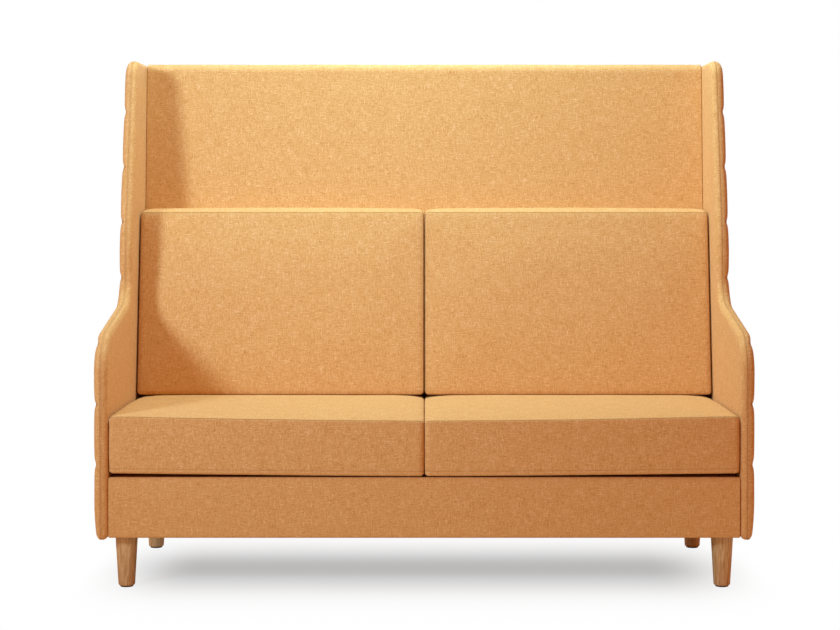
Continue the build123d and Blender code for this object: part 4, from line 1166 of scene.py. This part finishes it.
def back_cushion(side):
    """Loose back cushion: a boxed wedge, thicker at its foot, with a crowned top."""
    look = bpy.context.scene.settee_cushion
    lean = bpy.context.scene.settee_panel.lean
    sign = SIDES[side]
    x0, x1 = rest_low.x, rest_high.x + look.rest_spread
    z0, z1 = rest_low.z, look.rest_seam
    thick = look.rest_foot
    front_seam, rear_seam = thick - SEAM_IN, 6 * MM
    points, faces, wall, normal = boxed_form(
        (x0, z0), (x1, z1), thick, REST_CORNER, REST_CORNER - 2 * MM, look.edge * 0.7,
        (rear_seam, front_seam),
    )
    u, v, h = points.T.copy()
    t = np.clip((u - x0) / (x1 - x0), 0, 1)
    wide = 1 - (2 * t - 1) ** 2
    tall = np.clip((v - z0) / (z1 - z0), 0, 1)
    share = h / thick
    # The rear face leans as the back does, and the front face leans more.
    rear = rest_high.y - (z1 - look.rear_drop - v) * math.tan(lean)
    foot_y = rest_high.y - (z1 - look.rear_drop - z0) * math.tan(lean) - thick
    front = foot_y + (v - z0) * math.tan(look.rest_rake)
    face = np.clip(share * 2 - 1, 0, 1)
    to_side = np.minimum(u - x0, x1 - u)
    to_end = np.minimum(v - z0, z1 - v)
    soft = 2.0 * MM * fade(np.minimum(to_side, to_end), 0.03) ** 2
    bulge = (1 * MM + look.swell * 0.4 * wide) * 4 * tall * (1 - tall)
    y = rear + share * (front - rear) - face * (bulge - soft)
    seam_front = near_seam(h, wall, front_seam)
    seam_rear = near_seam(h, wall, rear_seam)
    held = held_points(seam_front, seam_rear, wall, to_side, to_end, REST_CORNER)
    swell = puff(np.column_stack([u, y, v]), faces, held)
    belly = midway(share, 0.05)
    # The top is crowned, less at its ends, and the sides are drawn in near the rear seam.
    looks_up = np.clip(normal[:, 1], 0, 1)
    looks_aside = np.abs(normal[:, 0])
    rise = (look.rest_crown - look.rest_fall * (1 - wide)) * np.clip(belly * 1.3, 0, 1)
    rise *= 1 - 0.55 * fade(to_side, 0.035) ** 2
    out = wall * (looks_up * rise - looks_aside * 2.0 * MM * (1 - belly) * (1 - share))
    tuck, small, wave = unevenness(
        np.column_stack([u, v, h]), sign,
        (16 * MM, 41.0, 0.45), (35 * MM, 37.0, 0.3), (130 * MM, 31.0, 1.1),
    )
    out += wall * (small * belly + tuck * np.exp(-seam_front / (12 * MM)))
    u = u + normal[:, 0] * out + swell[:, 0] * looks_aside
    v = v + normal[:, 1] * out + swell[:, 2] * looks_up
    y = y + face * (wave + small) * (1 - 0.5 * bump(seam_front, 5 * MM))
    y = y + 0.9 * MM * bump(seam_front, 1.3 * MM)
    y = y + face * np.minimum(swell[:, 1], 0)
    # Painted shade along the front seam.
    sewn = 0.8 * bump(seam_front, 1.1 * MM)
    x = sign * np.clip(u, x0, x1)
    points = np.column_stack([x, y, np.maximum(v, z0)])
    piece = loose_cushion("back_cushion", side, points, faces, sewn)


class SETTEE_OT_seat_cushions(bpy.types.Operator):
    """Make the two loose seat cushions"""

    bl_idname = "settee.seat_cushions"
    bl_label = "Seat cushions"

    def execute(self, context):
        for side in SIDES:
            seat_cushion(side)
        return {"FINISHED"}


class SETTEE_OT_back_cushions(bpy.types.Operator):
    """Make the two loose back cushions"""

    bl_idname = "settee.back_cushions"
    bl_label = "Back cushions"

    def execute(self, context):
        for side in SIDES:
            back_cushion(side)
        return {"FINISHED"}


class SETTEE_OT_finishes(bpy.types.Operator):
    """Make the finishes and give them to the pieces of the frame"""

    bl_idname = "settee.finishes"
    bl_label = "Finishes"

    def execute(self, context):
        make_materials()
        finish_frame()
        return {"FINISHED"}


# ------------------------------------------------------------------ stage
CAMERA_Y = -5.3325        # worked out from the photograph's perspective, as CAMERA_Z is
CAMERA_Z = 1.0057
SENSOR = 36.0             # width, in mm
LENS = 83.62              # focal length, in mm
FULL_SHIFT = -119.7 / 840  # puts the horizon where the photograph has it
KEPT_SHIFT = -0.10        # the part of it that stays a shift; the rest is a slight tilt
SIDE_SHIFT = -4.3 / 840   # the settee's middle is a little right of the photograph's
WHITE = linear("#FFFFFF")
LEFT_WING = Vector((-0.8, 0.2, 1.2))
KEY_SIDE = Vector((-0.43, -0.79, 0.18)).normalized()   # from the shadows that the wings throw


def area_light(name, place, size, power, shade, aim):
    """Rectangular light that looks at the aim."""
    data = bpy.data.lights.new(name, "AREA")
    data.shape = "RECTANGLE"
    data.size, data.size_y = size
    data.energy = power
    data.color = shade[:3]
    lamp = bpy.data.objects.new(name, data)
    lamp.location = place
    lamp.rotation_euler = (Vector(aim) - Vector(place)).to_track_quat("-Z", "Y").to_euler()
    bpy.context.scene.collection.objects.link(lamp)
    return data


class SETTEE_OT_stage(bpy.types.Operator):
    """Make the floor, the lights and the camera"""

    bl_idname = "settee.stage"
    bl_label = "Stage"

    def execute(self, context):
        look = context.scene.settee_studio
        self.floor(look)
        place = LEFT_WING + KEY_SIDE * look.key_distance
        key = area_light("key", place, (0.6, 0.6), look.key, look.key_colour, (-0.1, 0.2, 1.15))
        key.spread = look.key_spread
        area_light("top", (0.0, 0.0, 2.7), (1.6, 1.0), look.top, look.top_colour, (0, 0, 0.5))
        behind = (0.0, 3.4, 2.4)
        area_light("rear", behind, (3.6, 1.0), look.rear, linear("#E6F3FF"), (0, 0.3, 0.7))
        self.world(look)
        self.camera(context)
        context.scene.view_settings.view_transform = "Standard"
        return {"FINISHED"}

    def floor(self, look):
        """Pale floor. To the camera it is white, but for a painted soft shade band under the
        settee: a mask blends from white to the floor's real diffuse shading plus a steady glow.
        """
        points = [(-30, -30, 0), (30, -30, 0), (30, 30, 0), (-30, 30, 0)]
        material = bpy.data.materials.new("painted_floor")
        tree = node_tree(material)
        moved = add_node(tree, "ShaderNodeVectorMath", {
            0: add_node(tree, "ShaderNodeTexCoord").outputs["Object"],
            1: (0.0, look.shade_y, 0.0),
        }, operation="SUBTRACT")
        apart = add_node(tree, "ShaderNodeVectorMath", {0: moved}, operation="ABSOLUTE")
        axes = add_node(tree, "ShaderNodeSeparateXYZ", {"Vector": apart}).outputs
        across = add_node(tree, "ShaderNodeMapRange", {
            "Value": axes["X"], "From Min": look.shade_full, "From Max": look.shade_end,
            "To Min": 1.0, "To Max": 0.0,
        }, interpolation_type="SMOOTHSTEP")
        deep = add_node(tree, "ShaderNodeMath", {
            0: axes["Y"], 1: look.shade_deep,
        }, operation="DIVIDE")
        deep = add_node(tree, "ShaderNodeMath", {0: deep, 1: deep}, operation="MULTIPLY")
        deep = add_node(tree, "ShaderNodeMath", {0: deep, 1: -1.0}, operation="MULTIPLY")
        deep = add_node(tree, "ShaderNodeMath", {0: deep}, operation="EXPONENT")
        # Mask of the painted shade band: full in the middle, fading across and to the front and
        # back.
        near = add_node(tree, "ShaderNodeMath", {0: across, 1: deep}, operation="MULTIPLY")
        seen = add_node(tree, "ShaderNodeLightPath").outputs["Is Camera Ray"]
        paint = add_node(tree, "ShaderNodeBsdfDiffuse", {"Color": look.floor})
        white, glow = (
            add_node(tree, "ShaderNodeEmission", {"Color": WHITE, "Strength": strength})
            for strength in (1.0, look.shade)
        )
        contact = add_node(tree, "ShaderNodeBsdfDiffuse", {"Color": look.contact})
        shaded = add_node(tree, "ShaderNodeAddShader", {0: contact, 1: glow})
        shown = add_node(tree, "ShaderNodeMixShader", {0: near, 1: white, 2: shaded})
        both = add_node(tree, "ShaderNodeMixShader", {0: seen, 1: paint, 2: shown})
        add_node(tree, "ShaderNodeOutputMaterial", {"Surface": both})
        floor = to_object("floor", points, [(0, 1, 2, 3)], material, False)

    def world(self, look):
        """White to the camera, and a quiet even fill for everything else."""
        world = bpy.data.worlds.new("studio")
        bpy.context.scene.world = world
        tree = node_tree(world)
        path = add_node(tree, "ShaderNodeLightPath").outputs
        seen = add_node(tree, "ShaderNodeMath", {
            0: path["Is Camera Ray"], 1: path["Is Transmission Ray"],
        }, operation="MAXIMUM")
        fill, white = (
            add_node(tree, "ShaderNodeBackground", {"Color": shade, "Strength": strength})
            for shade, strength in ((look.fill_colour, look.fill), (WHITE, 1.0))
        )
        both = add_node(tree, "ShaderNodeMixShader", {0: seen, 1: fill, 2: white})
        add_node(tree, "ShaderNodeOutputWorld", {"Surface": both})

    def camera(self, context):
        """Camera level with the settee's upper part, far off, as the photograph was taken."""
        data = bpy.data.cameras.new("camera")
        data.lens = LENS
        data.sensor_width = SENSOR
        data.shift_x = SIDE_SHIFT
        data.shift_y = KEPT_SHIFT
        camera = bpy.data.objects.new("camera", data)
        focal = LENS / SENSOR
        tilt = math.atan(-FULL_SHIFT / focal) - math.atan(-KEPT_SHIFT / focal)
        camera.location = (0.0, CAMERA_Y, CAMERA_Z)
        camera.rotation_euler = (math.pi / 2 - tilt, 0.0, 0.0)
        context.scene.collection.objects.link(camera)
        context.scene.camera = camera


class SETTEE_PT_settee(bpy.types.Panel):
    """Lists the settee's parts in the sidebar"""

    bl_idname = "SETTEE_PT_settee"
    bl_label = "High back settee"
    bl_space_type = "VIEW_3D"
    bl_region_type = "UI"
    bl_category = "Settee"

    def draw(self, context):
        for operator in OPERATORS:
            self.layout.operator(operator.bl_idname)


GROUPS = {
    "settee_cloth": SETTEE_PG_cloth,
    "settee_panel": SETTEE_PG_panel,
    "settee_cushion": SETTEE_PG_cushion,
    "settee_studio": SETTEE_PG_studio,
}
OPERATORS = (
    SETTEE_OT_finishes,
    SETTEE_OT_side_panels,
    SETTEE_OT_back,
    SETTEE_OT_base,
    SETTEE_OT_seat_cushions,
    SETTEE_OT_back_cushions,
    SETTEE_OT_stage,
)


def register():
    """Register the property groups, the operators and the panel."""
    for name, group in GROUPS.items():
        bpy.utils.register_class(group)
        setattr(bpy.types.Scene, name, PointerProperty(type=group))
    for made in (*OPERATORS, SETTEE_PT_settee):
        bpy.utils.register_class(made)


def unregister():
    """Take them all away again."""
    for made in (SETTEE_PT_settee, *reversed(OPERATORS)):
        bpy.utils.unregister_class(made)
    for name, group in reversed(list(GROUPS.items())):
        delattr(bpy.types.Scene, name)
        bpy.utils.unregister_class(group)


def main():
    """Build the settee and its stage in order."""
    register()
    bpy.ops.settee.finishes()
    bpy.ops.settee.side_panels()
    bpy.ops.settee.back()
    bpy.ops.settee.base()
    bpy.ops.settee.seat_cushions()
    bpy.ops.settee.back_cushions()
    bpy.ops.settee.stage()


if __name__ == "__main__":
    main()
